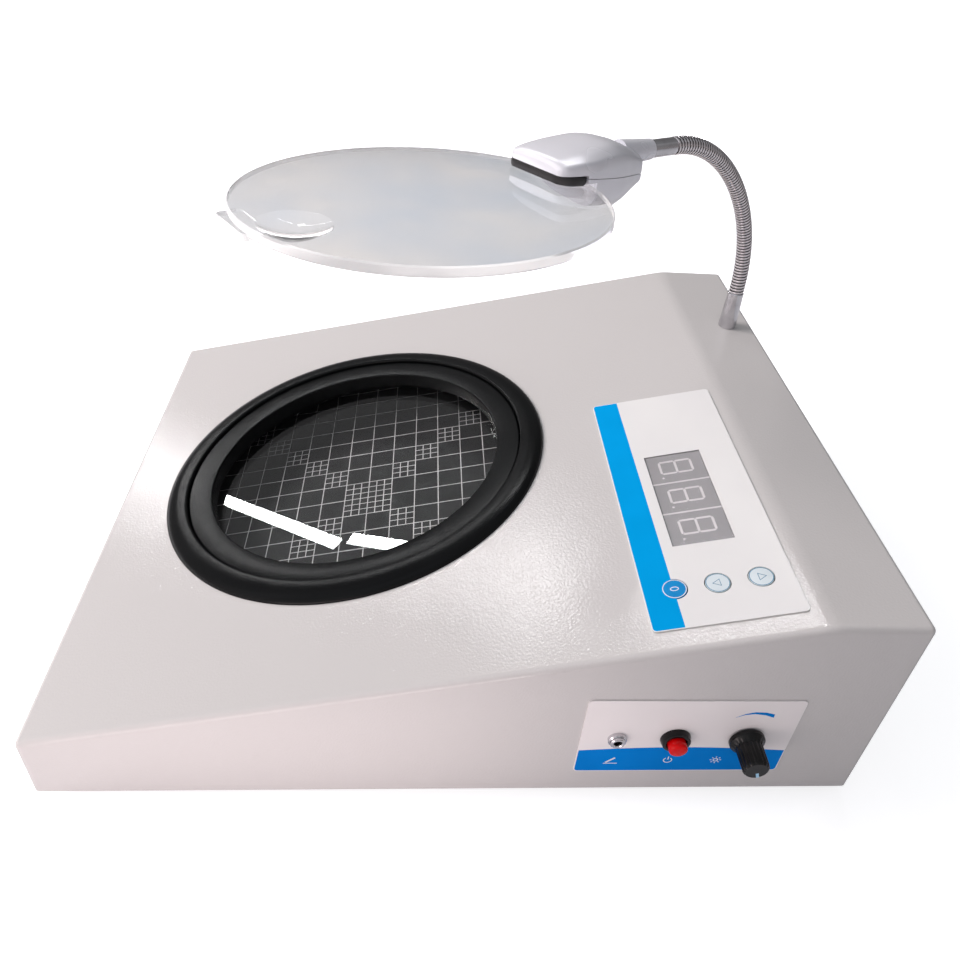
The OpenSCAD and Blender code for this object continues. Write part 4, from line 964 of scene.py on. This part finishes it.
def wound_length(start, end):
    """Closed tube of wound wire between two angles of the centre line."""
    lengths = coil_rows(start, end)
    angles = [start + (end - start) * (k / (len(lengths) - 1)) for k in range(len(lengths))]
    outside = [neck_ring(angle, thread_radius(length)) for angle, length in zip(angles, lengths)]
    inside = [neck_ring(angle, lambda share: NECK_BORE) for angle in angles[::-1]]
    return loft(outside + inside, True)


print("neck:", round(neck_length(NECK_FOOT, NECK_END), 1), "mm long")

# %% [markdown]
# The frame bends at ten joints. Each piece of the coil reaches from the middle of one link to the middle
# of the next.

# %% Wound neck
STEP, GROOVE_SHARE, COIL_SHARP = 90 / NECK_JOINTS, 0.66, 80
# Bright wire with painted shade in the grooves between turns: the eye reads the winding from that contrast.
coil_chrome = new_finish("chrome_plated_wound_wire", (3, "E2DDDF", "D8D3D6", 0.06, 0.1), Metallic=1.0)
groove_painted_shade = new_finish("painted_shade_steel_groove", (2, "1A1819", "262324", 0.4, 0.5), Metallic=0.6)


def coil_piece(name, start, end, replaces, body):
    """Coil between two angles; the faces between two turns of the wire get the painted shade."""
    coil = piece(name, wound_length(start, end), neck, coil_chrome, replaces, body, COIL_SHARP)
    coil.data.materials.append(groove_painted_shade)
    lengths = coil_rows(start, end)
    for face in coil.data.polygons:
        row, k = divmod(face.index, NECK_SIDES)
        if row < len(lengths) - 1:
            middle = (lengths[row] + lengths[row + 1]) / 2
            face.material_index = int(abs(thread_phase(middle, (k + 0.5) / NECK_SIDES)) > GROOVE_SHARE)
    return coil


for k in range(1, NECK_JOINTS + 1):
    joint = (k - 1) * STEP
    start, end = max(NECK_FOOT, joint - STEP / 2), joint + STEP / 2
    coil = coil_piece("neck_coil_%d" % k, start, end, ["neck_link_%d" % k], None)
    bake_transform(coil)
coil_piece("neck_coil_end", NECK_END - STEP / 2, NECK_END, (), "head")
print("coil pieces:", NECK_JOINTS + 1)

# %% Base ferrule
FERRULE_H, FERRULE_R, FERRULE_TOP_R, THREAD_R, STUD_Z = 17.0, 3.85, 3.3, 3.0, -9.0
FERRULE_EASE, FERRULE_FOOT, FERRULE_EDGE = 0.2, 1.2, 0.35
ferrule_profile = [(NECK_BORE, STUD_Z), (THREAD_R, STUD_Z), (THREAD_R, 0), (FERRULE_R - FERRULE_EASE, 0),
                   (FERRULE_R, FERRULE_EASE), (FERRULE_R, FERRULE_FOOT),
                   (FERRULE_TOP_R + FERRULE_EDGE * 0.3, FERRULE_H - FERRULE_EDGE),
                   (FERRULE_TOP_R - FERRULE_EASE, FERRULE_H), (NECK_BORE, FERRULE_H)]
piece("neck_base_ferrule", lathe(ferrule_profile, 96, True), neck, chrome, ["neck_ferrule"])
print("base ferrule:", FERRULE_H, "mm high")

# %% [markdown]
# The magnifier head is a pair of silver-painted ABS mouldings. Its shape is a loft through eight
# cross-sections, blended smoothly from one to the next. The crown's section has a flat top, a bevel and
# an upright flank; the two creases between them are pairs of close points, which catch the light as a
# real moulded edge does. The lens and a soft black strip are let into its mouth by cutting away a disc.
# Silver lacquer is part mirror, part diffuse, with a fine flake.

# %% Cross-sections of the head
LENS_R, RIM_T, LENS_TOP, LENS_UNDER = 56.0, 3.0, 2.6, 2.4
HEAD_L, SHELL_L, JAW_LAP, HEAD_W, HEAD_TOP, HEAD_BELLY = 47.5, 39.2, 15.2, 15.5, 13.05, 9.5
HEAD_ROLL, HEAD_PITCH, LENS_DROP, SEAM_TILT, BELLY_SOFT = -3.6, -2.0, 6.3, -5.9, 0.62
STRIP_T, STRIP_L, FIT_GAP, HEAD_STEPS, HEAD_SIDES = 2.6, 9.6, 0.3, 9, 64
LENS_Y, JAW_Y = LENS_R + HEAD_L, LENS_R - JAW_LAP
STRIP_Z = RIM_T / 2 + LENS_TOP * (1 - (JAW_Y / LENS_R) ** 2) + FIT_GAP
SEAM_Z = STRIP_Z + STRIP_T
lens_place = (neck @ at(0, -NECK_REACH, NECK_TOP + NECK_RISE) @ turn(HEAD_ROLL, "Y") @ turn(HEAD_PITCH, "X")
              @ at(0, -LENS_Y, -LENS_DROP))
# Place from the mouth to the back, then shares of the full width, crown and belly.
STATIONS = [(0, 0.74, 0.61, 0.02), (0.025, 0.84, 0.72, 0.20), (0.09, 0.92, 0.79, 0.50),
            (0.28, 1.00, 0.90, 0.85), (0.56, 0.93, 1.00, 1.00), (0.75, 0.80, 0.92, 0.85),
            (0.90, 0.66, 0.75, 0.55), (1, 0.58, 0.62, 0.32)]
CROWN = [(1, 0), (1, 0.30), (0.985, 0.52), (0.955, 0.635), (0.93, 0.68), (0.895, 0.715), (0.78, 0.82),
         (0.655, 0.895), (0.60, 0.92), (0.53, 0.938), (0.35, 0.975)]
crown_ring = CROWN + [(0, 1)] + [(-x, z) for x, z in CROWN[::-1]]


def soft(value, power):
    """A sine or cosine bent towards a box: the power squares off the round."""
    return copysign(abs(value) ** power, value)


belly_turns = [pi * k / HEAD_SIDES for k in range(HEAD_SIDES + 1)]
belly_ring = [(soft(cos(a), BELLY_SOFT), abs(sin(a)) ** BELLY_SOFT) for a in belly_turns]


def station(i):
    """One cross-section: its place, half width, crown and belly."""
    place, width, crown, belly = STATIONS[max(0, min(len(STATIONS) - 1, i))]
    return Vector((JAW_Y + place * SHELL_L, width * HEAD_W, crown * HEAD_TOP, -belly * HEAD_BELLY))


def between(i, t):
    """Smooth blend between two neighbouring cross-sections."""
    a, b, c, d = (station(i + k) for k in (-1, 0, 1, 2))
    return 0.5 * (2 * b + (c - a) * t + (2 * a - 5 * b + 4 * c - d) * t ** 2
                  + (3 * b - a - 3 * c + d) * t ** 3)


def head_half(shares, column, seam_gap):
    """One half of the head, from the seam to its crown (column 2) or its belly (column 3)."""
    sections = [between(i, j / HEAD_STEPS) for i in range(len(STATIONS) - 1) for j in range(HEAD_STEPS)]
    rings = []
    for section in sections + [station(len(STATIONS) - 1)]:
        y, width, edge = section[0], section[1], section[column]
        seam = SEAM_Z + (y - JAW_Y) * tan(radians(SEAM_TILT)) + seam_gap
        rings.append([(width * x, y, seam + (edge - seam) * z) for x, z in shares])
    return loft(rings)


print("head sections:", len(STATIONS), "seam at", round(SEAM_Z, 2), "mm")

# %% Moulded head
silver_lacquer = new_finish("silver_lacquered_abs", (20, "E4E5EB", "DFE0E6", 0.24, 0.28),
                            (0.8, 0.004), Metallic=0.2, IOR=1.5)
SEAM_LINE = 0.22
strip_y, mouth_top = JAW_Y + STRIP_L, STRIP_Z + STRIP_T


def mouth(radius, low, high, back):
    """Disc in the mouth of the head, as far back as a given distance."""
    reach = plate(rectangle(-LENS_R, 0, LENS_R, back), low - 1, high + 1)
    return carved(rod(radius, low, high, 256), reach, "INTERSECT")


def shell_half(name, node, shares, column, seam_gap):
    """One moulding of the head, with room for the lens and for the strip."""
    half = head_half(shares, column, seam_gap)
    half = carved(half, mouth(LENS_R + FIT_GAP, -LENS_R, STRIP_Z, 2 * LENS_R))
    half = carved(half, mouth(LENS_R + FIT_GAP, 0, mouth_top, strip_y))
    piece(name, half, lens_place, silver_lacquer, [node], "head")


shell_half("head_top_shell", "head_upper", crown_ring, 2, 0)
shell_half("head_under_shell", "head_lower", belly_ring, 3, -SEAM_LINE)
print("head: two shells")

# %% [markdown]
# A soft black strip runs round the mouth of the head, above the lens. It is an extruded bead: one rounded
# section, swept along the front and both corners, and drawn in to a blunt nose at each end.

# %% Soft strip
# Dull and soft, so it shows no sharp highlight.
soft_black = new_finish("soft_black_strip", (6, "191718", "252324", 0.4, 0.5), (0.5, 0.006))
BEAD_X, BEAD_BACK, BEAD_BEND, BEAD_DEEP, BEAD_ROUND, BEAD_SIDES = 13.9, 0.75, 4.5, 1.35, 0.75, 24
BEAD_NOSE = [(4.35, 0.12), (4.2, 0.45), (3.75, 0.78), (2.9, 1.0)]
FILLER_BACK, FILLER_GAP = 2.5, 0.02
bend_y = JAW_Y + BEAD_BACK + BEAD_BEND
right_half = [(BEAD_X, bend_y + reach, size) for reach, size in BEAD_NOSE]
right_half += [(x, y, 1.0) for x, y in arc((BEAD_X - BEAD_BEND, bend_y), BEAD_BEND, 0, -90, 16)]
bead_path = right_half + [(-x, y, size) for x, y, size in right_half[::-1]]
bead_rings = []
for k, (x, y, size) in enumerate(bead_path):
    (x0, y0, _), (x1, y1, _) = bead_path[max(k - 1, 0)], bead_path[min(k + 1, len(bead_path) - 1)]
    out = Vector((y1 - y0, x0 - x1)).normalized()
    lens_z = RIM_T / 2 + LENS_TOP * (1 - (x * x + y * y) / LENS_R ** 2) + FIT_GAP
    centre_z, half_z = (mouth_top + lens_z) / 2, (mouth_top - lens_z) / 2
    ring = []
    for a in (tau * j / BEAD_SIDES for j in range(BEAD_SIDES)):
        deep = size * BEAD_DEEP * soft(cos(a), BEAD_ROUND)
        high = size * half_z * soft(sin(a), BEAD_ROUND)
        ring.append((x + deep * out.x, y + deep * out.y, centre_z + high))
    bead_rings.append(ring)
filler_room = mouth(LENS_R, STRIP_Z, mouth_top - FILLER_GAP, strip_y - FILLER_BACK)
filler = carved(head_half(belly_ring, 3, 0), filler_room, "INTERSECT")
soft_strip = gather([loft(bead_rings), filler])
piece("head_soft_strip", soft_strip, lens_place, soft_black, ["head_strip"], "head")
print("strip:", len(bead_path), "sections")

# %% Collar and sleeve of the head
SLEEVE_R, SLEEVE_L, SLEEVE_EASE = 3.1, 11.5, 0.3
COLLAR_R, COLLAR_ROOT_R, COLLAR_L, COLLAR_EASE = 3.5, 4.5, 15.0, 0.4
sleeve_place = lens_place @ at(0, LENS_Y, LENS_DROP) @ turn(90, "X")
sleeve_profile = [(NECK_BORE, FIT_GAP), (SLEEVE_R - SLEEVE_EASE, FIT_GAP), (SLEEVE_R, 2 * FIT_GAP),
                  (SLEEVE_R, SLEEVE_L), (NECK_BORE, SLEEVE_L)]
sleeve = lathe(sleeve_profile, 96, True)
piece("head_sleeve", sleeve, sleeve_place, chrome, ["head_ferrule"], "head")
collar_profile = [(0, SLEEVE_L), (COLLAR_R - COLLAR_EASE, SLEEVE_L), (COLLAR_R, SLEEVE_L + COLLAR_EASE),
                  (COLLAR_ROOT_R, SLEEVE_L + COLLAR_L), (0, SLEEVE_L + COLLAR_L)]
piece("head_collar", lathe(collar_profile, 96), sleeve_place, silver_lacquer, (), "head")
print("collar:", 2 * COLLAR_R, "mm across")

# %% [markdown]
# The lens is one clear acrylic moulding: a shallow crown on both sides, a rim, a tab for a finger and a
# small strong lens near the far edge. It has to be one closed skin, since a ray counts every wall it
# crosses, so the parts are united by exact booleans.
#
# Two faint tints are a painted reflection: they stand for the room that the real lens shows in soft
# shapes. The index of refraction is low, so the lens bends light very little, and a clear coat gives the
# gloss. The lens casts no shadow and is not mirrored in the case, so that the tubes still sparkle in the
# coat below it.

# %% Acrylic lens
# The two cloud colours are a painted reflection of the room.
acrylic = new_finish("cast_clear_acrylic_painted_room_tints", (40, "D6DDE4", "F2EEE8", 0.0, 0.02), IOR=1.06,
                     Transmission_Weight=1.0, Coat_Weight=1.0, Coat_IOR=1.45, Coat_Roughness=0.0)
# The rim is painted pale white and lets less light through, so it shows as a pale line: a painted highlight
# for the light that a clear edge gathers.
rim_painted_highlight = new_finish("acrylic_rim_painted_highlight", (15, "FFFFFF", "F8FAFB", 0.1, 0.14),
                           IOR=1.06, Transmission_Weight=0.55)
LENS_STEPS, LENS_SIDES, RIM_EDGE, EDGE_TILT, EDGE_WIDTH = 48, 192, 0.45, 0.9, 2.0
SPOT_R, SPOT_Y, SPOT_LIP, SPOT_UNDER, SPOT_STEPS, SPOT_SIDES = 11.5, 40.0, 0.6, 4.2, 24, 128
TAB_X, TAB_W, TAB_L, TAB_BACK, TAB_T, TAB_ROUND = -6.0, 20.0, 1.0, 6.6, 2.0, 1.5
TONGUE_W, TONGUE_L, TONGUE_T, TONGUE_LAP, TONGUE_ROUND = 18.0, 10.0, 2.8, 1.0, 0.5


def crown_line(way, bulge):
    """Half section of a crown from the middle to the rim, above (1) or below (-1)."""
    shares = [k / LENS_STEPS for k in range(LENS_STEPS - 1)]
    return [(LENS_R * s, way * (RIM_T / 2 + bulge * (1 - s ** 2))) for s in shares]


half_rim = RIM_T / 2
rim = [(LENS_R - RIM_EDGE, -half_rim), (LENS_R, -half_rim + RIM_EDGE), (LENS_R, half_rim - RIM_EDGE),
       (LENS_R - RIM_EDGE, half_rim)]
disc = lathe(crown_line(-1, LENS_UNDER) + rim + crown_line(1, LENS_TOP)[::-1], LENS_SIDES)
spot_deep = SPOT_UNDER - SPOT_LIP
ball = (spot_deep ** 2 + SPOT_R ** 2) / (2 * spot_deep)
spot_profile = [(0, 0), (SPOT_R, 0)]
for r in (SPOT_R * (1 - k / SPOT_STEPS) for k in range(SPOT_STEPS + 1)):
    spot_profile.append((r, -half_rim - SPOT_UNDER + ball - sqrt(ball ** 2 - r ** 2)))
spot = moved(lathe(spot_profile, SPOT_SIDES), at(0, -SPOT_Y, 0))
tab = plate(rounded_box(TAB_X - TAB_W / 2, -LENS_R - TAB_L, TAB_X + TAB_W / 2, -LENS_R + TAB_BACK, TAB_ROUND),
            -half_rim - TAB_T / 2, -half_rim + TAB_T / 2)
tongue = plate(rounded_box(-TONGUE_W / 2, LENS_R - TONGUE_LAP, TONGUE_W / 2, LENS_R + TONGUE_L, TONGUE_ROUND),
               -TONGUE_T / 2, TONGUE_T / 2)
for part in (spot, tab, tongue):
    disc = carved(disc, part, "UNION")
magnifier = piece("magnifier_lens", disc, lens_place, acrylic, ["lens"], "head")
magnifier.visible_shadow = magnifier.visible_glossy = magnifier.visible_diffuse = False
magnifier.data.materials.append(rim_painted_highlight)
# Faces on the wall of the rim get the painted highlight.
hub = METRES @ lens_place @ Vector((0, 0, 0))
for face in magnifier.data.polygons:
    outer = (face.center - hub).length > (LENS_R - EDGE_WIDTH) / 1000
    face.material_index = int(outer and abs(face.normal.z) < EDGE_TILT)
print("lens:", 2 * LENS_R, "mm across,", len(magnifier.data.polygons), "faces")
